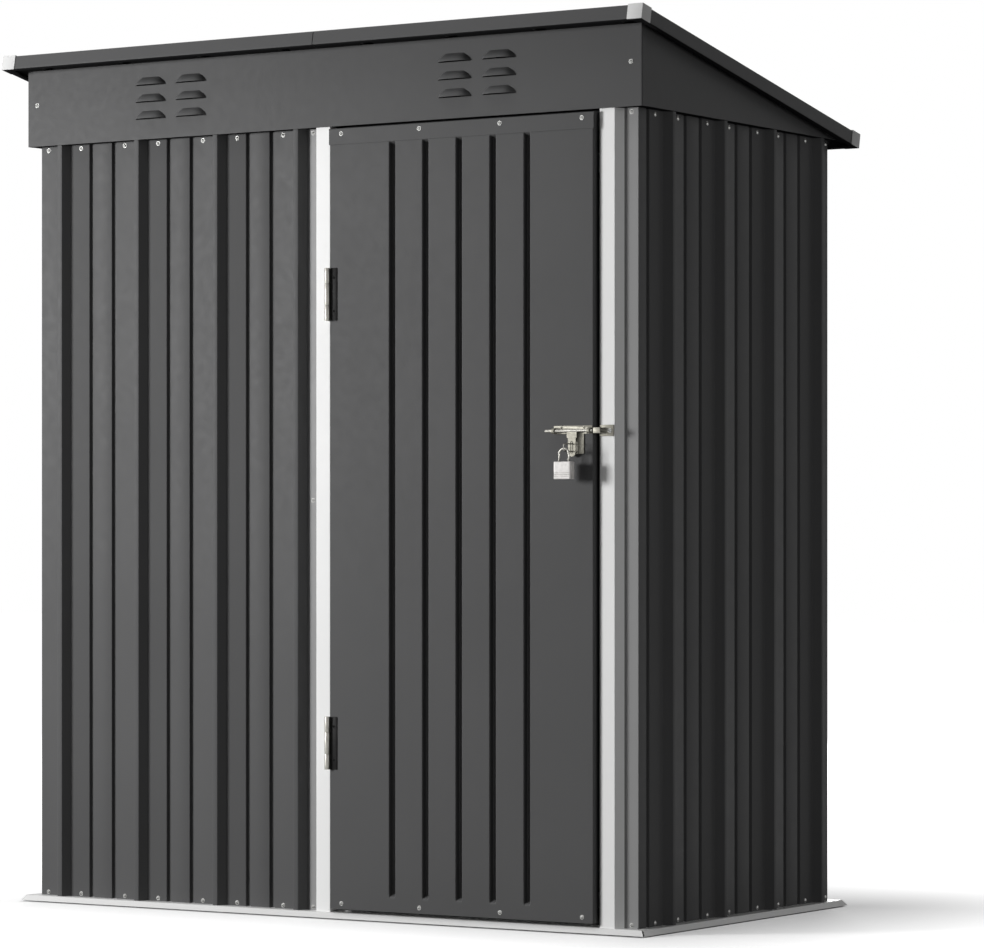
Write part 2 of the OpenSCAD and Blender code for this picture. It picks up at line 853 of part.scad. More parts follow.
// Hinge leaf on the post, with its two knuckles and the pin
module hinge_post_leaf(z) {
    half = hinge_h / 2;
    gap_half = knuckle_h / 2 + knuckle_gap;
    color(zinc_bright)
        translate([0, 0, z]) {
            difference() {
                union() {
                    translate([barrel_x, barrel_y, -half]) cylinder(d = barrel_d, h = hinge_h);
                    translate([hinge_face_x1, barrel_y, -half])
                        cube([leaf_t, front_y + jamb_in - barrel_y, hinge_h]);
                }
                translate([barrel_x, barrel_y, -gap_half])
                    cylinder(r = barrel_r + knuckle_gap, h = 2 * gap_half);
            }
            translate([barrel_x, barrel_y, -half]) cylinder(d = pin_d, h = hinge_h);
        }
}

// Hinge leaf on the face of the door, with the knuckle that turns on the pin
module hinge_door_leaf(z) {
    half = hinge_h / 2;
    leaf_x = barrel_x + barrel_r + knuckle_gap;
    color(zinc_dark)
        translate([0, 0, z])
            difference() {
                union() {
                    translate([barrel_x, barrel_y, -knuckle_h / 2])
                        cylinder(d = barrel_d, h = knuckle_h);
                    translate([leaf_x, door_face_y - leaf_t, -half])
                        cube([leaf_w, leaf_t, hinge_h]);
                    translate([barrel_x, door_face_y - leaf_t, -knuckle_h / 2])
                        cube([leaf_x - barrel_x + leaf_t, leaf_t, knuckle_h]);
                }
                translate([barrel_x, barrel_y, -half])
                    cylinder(d = pin_d + 2 * pin_gap, h = hinge_h);
            }
}

module upper_hinge_post_leaf() { hinge_post_leaf(hinge_z_upper); }
module upper_hinge_door_leaf() { hinge_door_leaf(hinge_z_upper); }
module lower_hinge_post_leaf() { hinge_post_leaf(hinge_z_lower); }
module lower_hinge_door_leaf() { hinge_door_leaf(hinge_z_lower); }

// Outline of a strap that comes out from a plate, goes round the bolt and back to the plate
module strap_outline(reach, wall) {
    circle(d = bolt_hole_d + 2 * wall);
    translate([0, -bolt_hole_d / 2 - wall]) square([reach, bolt_hole_d + 2 * wall]);
}

// Length of such a strap along the bolt, drawn at the bolt's axis from x = 0
module strap(length, reach) {
    translate([length / 2, 0, 0])
        bar(length)
            difference() {
                strap_outline(reach, guide_t);
                strap_outline(reach, 0);
            }
}

// Back plate of the bolt on the door, with its tongue and two guides
module bolt_plate() {
    color(zinc_bright) {
        translate([plate_x0, door_face_y - plate_t, plate_z0])
            cube([plate_w, plate_t, plate_h]);
        translate([door_x1 - tongue_edge - tongue_w, door_face_y - plate_t, plate_z0 - tongue_h])
            cube([tongue_w, plate_t, tongue_h]);
        for (x = [plate_x0, plate_x1 - guide_w])
            translate([x, bolt_y, bolt_z])
                strap(guide_w, bolt_out - plate_t);
    }
}

// Flat tab that hangs from the bolt, drawn from the front with the bolt's axis at the origin
module tab_outline() {
    round_z = -slot_drop - slot_h - slot_wall + tab_w / 2;
    difference() {
        union() {
            translate([-flap_w / 2, -flap_h]) square([flap_w, flap_h]);
            translate([-tab_w / 2, round_z]) square([tab_w, -round_z]);
            translate([0, round_z]) circle(d = tab_w);
        }
        translate([-slot_w / 2, -slot_drop - slot_h]) square([slot_w, slot_h]);
    }
}

// Staple through the slot, drawn from the side with its rounded end's middle at the origin
module staple_outline() {
    outer_r = staple_open / 2 + staple_wall;
    difference() {
        union() {
            circle(r = outer_r);
            translate([0, -outer_r]) square([staple_out + tab_t / 2, 2 * outer_r]);
            translate([staple_out - tab_t / 2, staple_drop - slot_drop - slot_h - tab_t])
                square([tab_t, slot_h + 2 * tab_t]);
        }
        circle(d = staple_open);
        translate([0, -staple_open / 2]) square([staple_out - tab_t / 2 - staple_wall, staple_open]);
    }
}

// Bolt with the flat tab and the staple that carries the padlock
module bolt() {
    color(zinc_bright) {
        translate([bolt_end_x - bolt_len, bolt_y, bolt_z])
            rotate([0, 90, 0])
                cylinder(d = bolt_d, h = bolt_len);
        translate([tab_x, bolt_y, bolt_z])
            rotate([90, 0, 0])
                linear_extrude(tab_t, center = true)
                    tab_outline();
        translate([tab_x, staple_y, staple_z])
            bar(staple_t)
                staple_outline();
    }
}

// Keeper on the latch post: flange with its fixing and a square loop for the bolt's end
module bolt_keeper() {
    seat_y = front_y - post_out;
    loop_out = seat_y - bolt_y + bolt_hole_d / 2 + guide_t;
    loop_h = bolt_hole_d + 2 * guide_t;
    color(zinc_bright)
        translate([keeper_x0, seat_y, bolt_z])
            difference() {
                union() {
                    translate([0, -guide_t, -keeper_h / 2])
                        cube([keeper_loop + keeper_flange, guide_t, keeper_h]);
                    translate([0, -loop_out, -loop_h / 2])
                        cube([keeper_loop, loop_out, loop_h]);
                }
                translate([-cut_past, guide_t - loop_out, -bolt_hole_d / 2])
                    cube([
                        keeper_loop + 2 * cut_past, loop_out - 2 * guide_t, bolt_hole_d
                    ]);
            }
}

// Padlock's case with rounded upright edges
module padlock_body() {
    color(zinc_bright)
        translate([lock_x, staple_y, lock_top_z - lock_h])
            linear_extrude(lock_h) {
                square([lock_w - 2 * lock_r, lock_t], center = true);
                square([lock_w, lock_t - 2 * lock_r], center = true);
                for (x = [-1, 1], y = [-1, 1])
                    translate([x * (lock_w / 2 - lock_r), y * (lock_t / 2 - lock_r)])
                        circle(r = lock_r);
            }
}

// Padlock's shackle, which hangs in the staple on the bolt's tab
module padlock_shackle() {
    color(zinc_bright)
        translate([lock_x, staple_y, shackle_bend_z]) {
            rotate([90, 0, 0])
                rotate_extrude(angle = 180)
                    translate([shackle_w / 2, 0]) circle(d = shackle_d);
            for (side = [-1, 1])
                translate([side * shackle_w / 2, 0, -shackle_leg])
                    cylinder(d = shackle_d, h = shackle_leg);
        }
}

base_rail_front();
base_rail_right();
base_rail_back();
base_rail_left();
front_sheet();
right_sheet();
back_sheet_left();
back_sheet_right();
left_sheet();
hinge_post();
latch_post();
corner_angle_front_left();
corner_angle_back_left();
corner_angle_back_right();
top_rail_front();
top_rail_right();
top_rail_back();
top_rail_left();
fascia();
gable_right();
gable_left();
roof_sheet_left();
roof_sheet_right();
roof_beam();
roof_trim_front_left();
roof_trim_front_right();
roof_trim_back();
roof_trim_left();
roof_trim_right();
roof_cap_front_left();
roof_cap_front_right();
roof_cap_back_left();
roof_cap_back_right();
door_panel();
door_cap();
door_rail();
upper_hinge_post_leaf();
upper_hinge_door_leaf();
lower_hinge_post_leaf();
lower_hinge_door_leaf();
bolt_plate();
bolt();
bolt_keeper();
padlock_body();
padlock_shackle();
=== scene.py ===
import math

import bmesh
import bpy
from mathutils import Matrix, Vector


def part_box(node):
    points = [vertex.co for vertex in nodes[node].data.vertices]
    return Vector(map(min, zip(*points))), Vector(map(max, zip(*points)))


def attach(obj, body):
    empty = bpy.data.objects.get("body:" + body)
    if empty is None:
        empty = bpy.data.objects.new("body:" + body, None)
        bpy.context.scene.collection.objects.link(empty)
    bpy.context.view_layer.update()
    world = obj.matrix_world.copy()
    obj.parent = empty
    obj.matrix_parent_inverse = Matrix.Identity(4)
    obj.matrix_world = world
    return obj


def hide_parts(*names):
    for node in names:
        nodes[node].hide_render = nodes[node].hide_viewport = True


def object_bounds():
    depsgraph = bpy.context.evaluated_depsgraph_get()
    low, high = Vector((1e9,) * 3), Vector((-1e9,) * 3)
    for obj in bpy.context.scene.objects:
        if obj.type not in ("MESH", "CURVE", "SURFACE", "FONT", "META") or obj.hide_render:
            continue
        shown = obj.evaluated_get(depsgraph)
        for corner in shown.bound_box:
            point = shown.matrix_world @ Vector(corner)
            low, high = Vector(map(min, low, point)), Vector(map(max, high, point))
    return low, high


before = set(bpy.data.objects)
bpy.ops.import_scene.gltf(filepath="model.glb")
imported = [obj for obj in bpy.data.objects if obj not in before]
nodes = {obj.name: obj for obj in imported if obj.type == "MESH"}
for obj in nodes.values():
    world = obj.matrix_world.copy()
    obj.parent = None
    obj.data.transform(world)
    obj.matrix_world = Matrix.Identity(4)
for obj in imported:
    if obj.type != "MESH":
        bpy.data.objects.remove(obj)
cad_low, cad_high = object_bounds()
mm = 0.001

# Base rails: four lengths of pale coated steel strip, folded to a lip that slopes to the ground,
# a ledge for the wall sheets, an upstand and a foot. Their ends are mitred with a slit. The upstand
# is painted near-black, painted shade where it shows through gaps.
rail_steel = 1.5 * mm
rail_bend = 2.5 * mm
lip_out = 32 * mm
ledge_out = 23.6 * mm
ledge_z = 13 * mm
upstand_in = 7 * mm
upstand_z = 49 * mm
foot_in = 30.5 * mm
mitre_slit = 1 * mm
mitre_opening = 4.5 * mm
lip_lift = 1.6 * mm

rail_low, rail_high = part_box("base_rail_front")
wall_x = rail_high.x - lip_out + mitre_slit / 2
wall_front = rail_low.y + lip_out
wall_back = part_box("base_rail_back")[1].y - lip_out
wall_mid = (wall_front + wall_back) / 2
side_half = (wall_back - wall_front) / 2

# Each wall's own frame: x along the wall, y inwards, with the flat of the sheets at y = 0
on_wall = {
    "front": Matrix.Translation((0, wall_front, 0)),
    "right": Matrix.Translation((wall_x, wall_mid, 0)) @ Matrix.Rotation(math.pi / 2, 4, "Z"),
    "back": Matrix.Translation((0, wall_back, 0)) @ Matrix.Rotation(math.pi, 4, "Z"),
    "left": Matrix.Translation((-wall_x, wall_mid, 0)) @ Matrix.Rotation(-math.pi / 2, 4, "Z"),
}
wall_half = {"front": wall_x, "right": side_half, "back": wall_x, "left": side_half}


def rounded(corners, radius, steps=3):
    """Closed outline whose corners are bent to a radius, with a point beside each bend."""
    side_share, bend_share, least_reach, flat_beside = 0.4, 0.8, 0.05 * mm, 1 * mm
    outline = []
    for i, corner in enumerate(corners):
        here = Vector(corner)
        back = Vector(corners[i - 1]) - here
        forth = Vector(corners[(i + 1) % len(corners)]) - here
        room = side_share * min(back.length, forth.length)
        turn = math.pi - back.angle(forth)
        reach = min(max(radius * math.tan(turn / 2), least_reach), bend_share * room)
        beside = min(reach + flat_beside, room)
        back.normalize()
        forth.normalize()
        start, end = here + reach * back, here + reach * forth
        outline.append(here + beside * back)
        for step in range(steps + 1):
            s = step / steps
            outline.append((1 - s) ** 2 * start + 2 * s * (1 - s) * here + s * s * end)
        outline.append(here + beside * forth)
    return outline


def skinned(name, rings, endless=False):
    """Closed mesh over rings of points, whose ends get a face each or meet each other."""
    count = len(rings[0])
    last = (len(rings) - 1) * count
    faces = [] if endless else [range(count), range(last, last + count)]
    for ring in range(len(rings) if endless else len(rings) - 1):
        here, there = ring * count, (ring + 1) % len(rings) * count
        for i in range(count):
            j = (i + 1) % count
            faces.append((here + i, here + j, there + j, there + i))
    mesh = bpy.data.meshes.new(name)
    mesh.from_pydata([point for ring in rings for point in ring], [], faces)
    turned = bmesh.new()
    turned.from_mesh(mesh)
    bmesh.ops.recalc_face_normals(turned, faces=turned.faces)
    turned.to_mesh(mesh)
    turned.free()
    return mesh


def in_scene(name, data):
    """New object in the scene."""
    made = bpy.data.objects.new(name, data)
    bpy.context.scene.collection.objects.link(made)
    return made


def smooth_piece(name, mesh, body):
    """Piece on a body, with smooth faces between its sharp edges."""
    piece = in_scene(name, mesh)
    mesh.shade_smooth()
    mesh.set_sharp_from_angle(angle=math.radians(35))
    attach(piece, body)
    return piece


def fitted(node, mesh, finish, body="shed"):
    """The finished piece that stands for a node of the frame."""
    mesh.materials.clear()
    mesh.materials.append(finish)
    piece = smooth_piece(node + "_finished", mesh, body)
    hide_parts(node)
    return piece


def recoated(piece, finish, picked):
    """Gives the faces that a test picks a second material; the near-black one is painted shade."""
    piece.data.materials.append(finish)
    for face in piece.data.polygons:
        if picked(face):
            face.material_index = 1


def wired(tree, node, inputs):
    """Sets or links the inputs of a node."""
    for key, value in inputs.items():
        if isinstance(value, bpy.types.NodeSocket):
            tree.links.new(value, node.inputs[key])
        else:
            node.inputs[key].default_value = value
    return node


def linked(tree, kind, inputs, **settings):
    """New node of a tree, with its settings and with its inputs set or linked."""
    made = tree.nodes.new(kind)
    for key, value in settings.items():
        setattr(made, key, value)
    return wired(tree, made, inputs)


def noise(tree, place, scale, detail):
    """Output of a noise."""
    return linked(tree, "ShaderNodeTexNoise", {
        "Vector": place, "Scale": scale, "Detail": detail,
    }).outputs["Fac"]


def mapped(tree, value, low, high, start=0.0, end=1.0):
    """Output that runs from low to high while a value runs from start to end."""
    return linked(tree, "ShaderNodeMapRange", {
        "Value": value, "From Min": start, "From Max": end, "To Min": low, "To Max": high,
    }).outputs["Result"]


def two_toned(tree, value, start, low, end, high):
    """Output of a ramp between two colours."""
    ramp = linked(tree, "ShaderNodeValToRGB", {"Fac": value})
    for stop, place, colour in zip(ramp.color_ramp.elements, (start, end), (low, high)):
        stop.position = place
        stop.color = (*colour, 1)
    return ramp.outputs["Color"]


def new_finish(name):
    """New material, with its tree, its shader and the place on the piece."""
    finish = bpy.data.materials.new(name)
    finish.use_nodes = True
    tree = finish.node_tree
    place = linked(tree, "ShaderNodeTexCoord", {}).outputs["Object"]
    return finish, tree, tree.nodes["Principled BSDF"], place


def coated_steel(name, tone_low, tone_high, roughness, gloss, wave):
    """Coil-coated steel: faint clouds in the colour, a fine peel in the film and slow waves."""
    finish, tree, shader, place = new_finish(name)
    film = linked(tree, "ShaderNodeBump", {
        "Height": noise(tree, place, 420.0, 2.0), "Strength": 0.12, "Distance": 0.3 * mm,
    })
    sheet = linked(tree, "ShaderNodeBump", {
        "Height": noise(tree, place, 3.5, 1.0), "Strength": 0.5, "Distance": wave,
        "Normal": film.outputs["Normal"],
    })
    clouds, grain = noise(tree, place, 2.3, 3.0), noise(tree, place, 55.0, 4.0)
    wired(tree, shader, {
        "Base Color": two_toned(tree, clouds, 0.3, tone_low, 0.7, tone_high),
        "Roughness": mapped(tree, grain, roughness - 0.04, roughness + 0.04, 0.3, 0.7),
        "Normal": sheet.outputs["Normal"], "Specular IOR Level": gloss,
    })
    return finish


rail_coat = coated_steel("rail_coat", (0.60, 0.60, 0.595), (0.64, 0.64, 0.635), 0.4, 0.8, 2 * mm)
# Near-black painted shade for undersides, gaps and hidden strips: it stands in for the shadow there.
primer_coat = coated_steel("primer_coat", (0.02, 0.02, 0.021), (0.026, 0.026, 0.027), 0.9, 0.0, 1 * mm)

lip_wall = rail_steel * math.hypot(ledge_z, lip_out - ledge_out) / ledge_z
lip_lean = (ledge_z - rail_steel) * (lip_out - ledge_out) / ledge_z
rail_outline = rounded([
    (-lip_out, lip_lift), (-ledge_out, ledge_z), (upstand_in, ledge_z), (upstand_in, upstand_z),
    (upstand_in + rail_steel, upstand_z), (upstand_in + rail_steel, rail_steel),
    (foot_in, rail_steel), (foot_in, 0), (upstand_in, 0), (upstand_in, ledge_z - rail_steel),
    (-lip_out + lip_wall + lip_lean, ledge_z - rail_steel), (-lip_out + lip_wall, lip_lift),
], rail_bend)
for wall, place in on_wall.items():
    half = wall_half[wall] - mitre_opening / 2
    rings = [
        [place @ Vector((end * (half - inwards), inwards, z)) for inwards, z in rail_outline]
        for end in (-1, 1)
    ]
    rail = fitted("base_rail_" + wall, skinned("base_rail", rings), rail_coat)
    # The upstand above the ledge is painted near-black: painted shade where it shows through gaps.
    recoated(rail, primer_coat, lambda face: face.center.z > ledge_z + rail_bend)

# Wall sheets: roll-formed sheets of dark grey coated steel that stand on the ledge of the rails.
# A trapezoid rib repeats along each sheet, with a pair of narrow grooves between two ribs.
sheet_steel = 1 * mm
sheet_bend = 1.3 * mm
wall_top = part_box("front_sheet")[1].z
rib_pitch = 205 * mm
grey_coat = coated_steel(
    "grey_coat", (0.080, 0.080, 0.081), (0.087, 0.087, 0.088), 0.42, 0.05, 2 * mm
)


def named_inputs(tree, rows):
    """Adds inputs with their first values to a tree of geometry nodes."""
    for title, kind, value in rows:
        socket = tree.interface.new_socket(title, in_out="INPUT", socket_type="NodeSocket" + kind)
        socket.default_value = value
    return linked(tree, "NodeGroupInput", {}).outputs


def nodes_in(tree):
    """Function that adds one node to a tree and gives its first output."""
    def added(kind, inputs, **settings):
        return linked(tree, kind, inputs, **settings).outputs[0]
    return added


def sums_in(tree, *operations):
    """Functions that each add one kind of sum to a tree and give its output."""
    def kind_of_sum(operation):
        return lambda a, b=0.0: nodes_in(tree)("ShaderNodeMath", {0: a, 1: b}, operation=operation)
    return [kind_of_sum(operation) for operation in operations]


corrugation = bpy.data.node_groups.new("corrugated_sheet", "GeometryNodeTree")
corrugation.interface.new_socket("Sheet", in_out="OUTPUT", socket_type="NodeSocketGeometry")
sheet_input = named_inputs(corrugation, (
    ("Width", "Float", 0.7), ("Height", "Float", wall_top - ledge_z), ("Steel", "Float", sheet_steel),
    ("Bend", "Float", sheet_bend), ("First Form", "Int", 0), ("Forms", "Int", 10),
    ("First Rib", "Float", 0.1), ("Rib Pitch", "Float", rib_pitch), ("Rib Height", "Float", 18 * mm),
    ("Rib Top", "Float", 12 * mm), ("Rib Flank", "Float", 9 * mm), ("Groove Gap", "Float", 60 * mm),
    ("Groove Width", "Float", 12.4 * mm), ("Groove Floor", "Float", 9.4 * mm),
    ("Groove Depth", "Float", 5.9 * mm), ("Finish", "Material", grey_coat),
))
sheet_node = nodes_in(corrugation)
plus, minus, times, over, modulo, floored, size, below, above = sums_in(
    corrugation, "ADD", "SUBTRACT", "MULTIPLY", "DIVIDE", "FLOORED_MODULO", "FLOOR", "ABSOLUTE",
    "LESS_THAN", "GREATER_THAN",
)


def chosen(choice, if_zero, if_one):
    """Output of a choice between two values in the corrugation's tree."""
    return sheet_node("ShaderNodeMix", {0: choice, 2: if_zero, 3: if_one})


# Four corners make a form, and three forms, a rib and two grooves, make one pitch
point_number = sheet_node("GeometryNodeInputIndex", {})
last_number = plus(times(sheet_input["Forms"], 4), 1)
step = minus(point_number, 1)
form = plus(floored(over(step, 4)), sheet_input["First Form"])
corner = modulo(step, 4)
kind_of_form = modulo(form, 3)
pitches = floored(over(form, 3))
is_rib = below(kind_of_form, 0.5)
raised = below(size(minus(corner, 1.5)), 1)
side_sign = minus(times(above(corner, 1.5), 2), 1)
groove_middle = plus(
    over(sheet_input["Rib Pitch"], 2), times(minus(kind_of_form, 1.5), sheet_input["Groove Gap"])
)
rib_half_top = over(sheet_input["Rib Top"], 2)
half_foot = chosen(
    is_rib, over(sheet_input["Groove Width"], 2), plus(rib_half_top, sheet_input["Rib Flank"])
)
half_top = chosen(is_rib, over(sheet_input["Groove Floor"], 2), rib_half_top)
outwards = chosen(is_rib, times(sheet_input["Groove Depth"], -1), sheet_input["Rib Height"])
form_x = plus(sheet_input["First Rib"], plus(
    times(pitches, sheet_input["Rib Pitch"]),
    plus(chosen(is_rib, groove_middle, 0.0), times(side_sign, chosen(raised, half_foot, half_top))),
))
is_start = below(point_number, 0.5)
is_end = above(point_number, minus(last_number, 0.5))
on_form = minus(1.0, plus(is_start, is_end))
bend_line = sheet_node("ShaderNodeCombineXYZ", {
    "X": chosen(is_end, chosen(is_start, form_x, 0.0), sheet_input["Width"]),
    "Y": times(times(outwards, raised), times(on_form, -1)),
})
line = sheet_node("GeometryNodeMeshLine", {"Count": plus(last_number, 1)})
placed = sheet_node("GeometryNodeSetPosition", {"Geometry": line, "Position": bend_line})
curve = sheet_node("GeometryNodeMeshToCurve", {"Mesh": placed})
bent = sheet_node("GeometryNodeFilletCurve", {
    "Curve": curve, "Count": 3, "Radius": sheet_input["Bend"], "Limit Radius": True,
}, mode="POLY")
edge = sheet_node("GeometryNodeCurveToMesh", {"Curve": bent})
upwards = sheet_node("ShaderNodeCombineXYZ", {"Z": sheet_input["Height"]})
skin = sheet_node("GeometryNodeExtrudeMesh", {
    "Mesh": edge, "Offset": upwards, "Offset Scale": 1.0,
}, mode="EDGES")
inner = sheet_node("GeometryNodeExtrudeMesh", {
    "Mesh": skin, "Offset Scale": sheet_input["Steel"], "Individual": False,
}, mode="FACES")
outer = sheet_node("GeometryNodeFlipFaces", {"Mesh": skin})
both = linked(corrugation, "GeometryNodeJoinGeometry", {})
for surface in (inner, outer):
    corrugation.links.new(surface, both.inputs[0])
closed = sheet_node("GeometryNodeMergeByDistance", {
    "Geometry": both.outputs[0], "Distance": 0.01 * mm,
})
plain = sheet_node("GeometryNodeRealizeInstances", {"Geometry": closed})
coated = sheet_node("GeometryNodeSetMaterial", {
    "Geometry": plain, "Material": sheet_input["Finish"],
})
linked(corrugation, "NodeGroupOutput", {"Sheet": coated})


def modified(mesh, kind, set_up):
    """Plain mesh that a modifier makes of another."""
    holder = in_scene("holder", mesh)
    set_up(holder.modifiers.new("maker", kind))
    made = bpy.data.meshes.new_from_object(
        holder.evaluated_get(bpy.context.evaluated_depsgraph_get())
    )
    bpy.data.objects.remove(holder)
    return made


def made_by(tree, values, start=None):
    """Plain mesh that a tree of geometry nodes makes from its named inputs."""
    def set_up(maker):
        maker.node_group = tree
        for item in tree.interface.items_tree:
            if item.name in values:
                maker[item.identifier] = values[item.name]
    return modified(start or bpy.data.meshes.new("holder"), "NODES", set_up)


def corrugated(node, width, values, place):
    """Corrugated sheet that starts at the left end of its place."""
    mesh = made_by(corrugation, {"Width": width, **values})
    mesh.transform(place)
    return fitted(node, mesh, grey_coat)


front_rib = 62.8 * mm
side_rib = 108.5 * mm
side_inset = 1.5 * mm
side_width = 2 * (side_half - side_inset)
front_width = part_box("front_sheet")[1].x + wall_x
back_rib = rib_pitch / 2
ribs_in_sheet = 4
back_left_rib = wall_x - back_rib - (ribs_in_sheet - 1) * rib_pitch
side_last_rib = side_width - (side_rib - side_inset) - (ribs_in_sheet - 1) * rib_pitch
sheet_forms = 3 * ribs_in_sheet - 2
side_start = side_inset - side_half
for node, wall, start, width, rib, form, forms in (
    ("front_sheet", "front", -wall_x, front_width, front_rib, 0, sheet_forms),
    ("right_sheet", "right", side_start, side_width, side_rib - side_inset, -1, sheet_forms + 1),
    ("left_sheet", "left", side_start, side_width, side_last_rib, 0, sheet_forms + 1),
    ("back_sheet_left", "back", 0, wall_x, back_rib, -1, sheet_forms + 1),
    ("back_sheet_right", "back", -wall_x, wall_x, back_left_rib, 0, sheet_forms + 1),
):
    corrugated(
        node, width, {"First Rib": rib, "First Form": form, "Forms": forms},
        on_wall[wall] @ Matrix.Translation((start, 0, ledge_z)),
    )

# Door posts: two folded uprights of white coated steel that stand on the ledge. Each has a face
# that stands out as far as the ribs, a sloping flank, a pale grey flange and a jamb by the door.
post_steel = 1.5 * mm
post_bend = 2 * mm
post_out = 18 * mm
post_face = 34.7 * mm
post_flank = 12.3 * mm
jamb_in = 6.8 * mm
hinge_low, hinge_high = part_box("hinge_post")
hinge_face_right = hinge_high.x
hinge_face_left = hinge_face_right - post_face
hinge_flank = hinge_face_left - post_flank
latch_low, latch_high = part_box("latch_post")
latch_face_left = latch_low.x
latch_face_right = latch_face_left + post_face
latch_flank = latch_face_right + post_flank
latch_leg_x = wall_x - sheet_steel
latch_leg_in = latch_high.y - wall_front
flange_proud = 1 * mm
white_coat = coated_steel("white_coat", (0.83, 0.83, 0.825), (0.86, 0.86, 0.855), 0.4, 0.12, 2 * mm)
flange_coat = coated_steel("flange_coat", (0.23, 0.23, 0.23), (0.26, 0.26, 0.26), 0.4, 0.12, 1 * mm)


def upright(node, outline):
    """Post of that outline, whose y runs outwards from the flat of the front sheets."""
    rings = [
        [Vector((x, wall_front - out, z)) for x, out in outline] for z in (ledge_z, wall_top)
    ]
    post = fitted(node, skinned("post", rings), white_coat)
    recoated(post, flange_coat, lambda face: face.center.y > wall_front - flange_proud)


upright("hinge_post", rounded([
    (hinge_low.x, -sheet_steel), (hinge_flank, -sheet_steel), (hinge_face_left, post_out),
    (hinge_face_right, post_out), (hinge_face_right, -jamb_in),
    (hinge_face_right - post_steel, -jamb_in), (hinge_face_right - post_steel, post_out - post_steel),
    (hinge_face_left + post_steel, post_out - post_steel),
    (hinge_flank + post_steel, -sheet_steel - post_steel), (hinge_low.x, -sheet_steel - post_steel),
], post_bend))
upright("latch_post", rounded([
    (latch_face_left, -jamb_in), (latch_face_left, post_out), (latch_face_right, post_out),
    (latch_flank, 0), (wall_x, 0), (wall_x, -post_steel), (latch_leg_x, -post_steel),
    (latch_leg_x, -latch_leg_in), (latch_leg_x - post_steel, -latch_leg_in),
    (latch_leg_x - post_steel, -post_steel), (latch_flank - post_steel, -post_steel),
    (latch_face_right - post_steel, post_out - post_steel),
    (latch_face_left + post_steel, post_out - post_steel), (latch_face_left + post_steel, -jamb_in),
], post_bend))

# Frame inside: corner angles, top rails, the roof beam and the channel in the door's lower edge.
# They are plain folded lengths of galvanised steel, screwed to the sheets from outside. The front top
# rail is painted near-black as painted shade, so that it shows as a dark shadow line over the door.
galvanised, zinc_tree, zinc_shader, zinc_place = new_finish("galvanised")
spangle = linked(zinc_tree, "ShaderNodeTexVoronoi", {
    "Vector": zinc_place, "Scale": 90.0,
}).outputs["Color"]
wired(zinc_tree, zinc_shader, {
    "Base Color": mapped(zinc_tree, spangle, 0.42, 0.58),
    "Roughness": mapped(zinc_tree, spangle, 0.38, 0.55), "Metallic": 0.7,
})
for node in (
    "corner_angle_front_left", "corner_angle_back_left", "corner_angle_back_right",
    "top_rail_front", "top_rail_right", "top_rail_back", "top_rail_left", "roof_beam", "door_rail",
):
    nodes[node].data.materials.clear()
    nodes[node].data.materials.append(primer_coat if node == "top_rail_front" else galvanised)

# Fascia: a pressed panel of grey coated steel over the front, with twelve louvres in two groups.
# Each louvre is a domed hood with an open mouth below. The ends are folded back round the corners.
fascia_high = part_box("fascia")[1]
fascia_out = 20.9 * mm
fascia_face = wall_front - fascia_out
fascia_half = fascia_high.x
fascia_return = 17 * mm
fascia_bend = 2 * mm
fascia_flange = 15 * mm
bend_steps = 4
by_bend = 2 * mm
louvre_group_x = 380 * mm
louvre_pitch_x = 105 * mm
louvre_pitch_z = 35.3 * mm
louvre_foot = 42.3 * mm
louvre_rows = 3
louvre_w = 79 * mm
louvre_top_w = 43 * mm
louvre_h = 16.7 * mm
hood_taper = 1.7
hood_reach = 15 * mm
hood_curve = 2.4
hood_edge = 4
mouth_slit = 0.4 * mm
by_louvre_x = 6 * mm
by_louvre_z = 4 * mm
hood_columns = 24
hood_rows = 10
roof_pitch = math.radians(11.13)
roof_edge_h = 31 * mm
roof_front = cad_low.y + roof_edge_h * math.sin(roof_pitch)
roof_top = cad_high.z
roof_sheet_drop = 21.7 * mm
roof_seat = 0.2 * mm


def under_roof(y):
    """Height of the underside of the roof sheets over a place y."""
    drop = (y - roof_front) * math.tan(roof_pitch) + roof_sheet_drop / math.cos(roof_pitch)
    return roof_top - drop - roof_seat


def hood_half(share):
    """Half width of a louvre at that share of its height."""
    return (louvre_w - (louvre_w - louvre_top_w) * share ** hood_taper) / 2


def hood_out(across, share):
    """How far a louvre stands out at a share of its half width and of its height."""
    return hood_reach * (1 - share ** hood_curve) * (1 - abs(across) ** hood_edge)


# Columns run round both corners: each has a place along x, a depth and the louvre it belongs to
louvre_middles = [
    side * louvre_group_x + column * louvre_pitch_x / 2 for side in (-1, 1) for column in (-1, 1)
]
columns = []
for side in (-1, 1):
    columns += [
        (side * fascia_half, fascia_return, None, 0),
        (side * fascia_half, fascia_bend + by_bend, None, 0),
        (side * (fascia_half - fascia_bend - by_bend), 0, None, 0),
    ]
    for step in range(bend_steps + 1):
        angle = math.pi / 2 * step / bend_steps
        columns.append((
            side * (fascia_half - fascia_bend * (1 - math.cos(angle))),
            fascia_bend * (1 - math.sin(angle)), None, 0,
        ))
for middle in louvre_middles:
    columns += [
        (middle + louvre_w / 2 * across, 0, middle, across)
        for across in (2 * i / hood_columns - 1 for i in range(hood_columns + 1))
    ]
    columns += [(middle + side * (louvre_w / 2 + by_louvre_x), 0, None, 0) for side in (-1, 1)]
columns.sort(key=lambda column: (column[0], -column[1] if column[0] < 0 else column[1]))

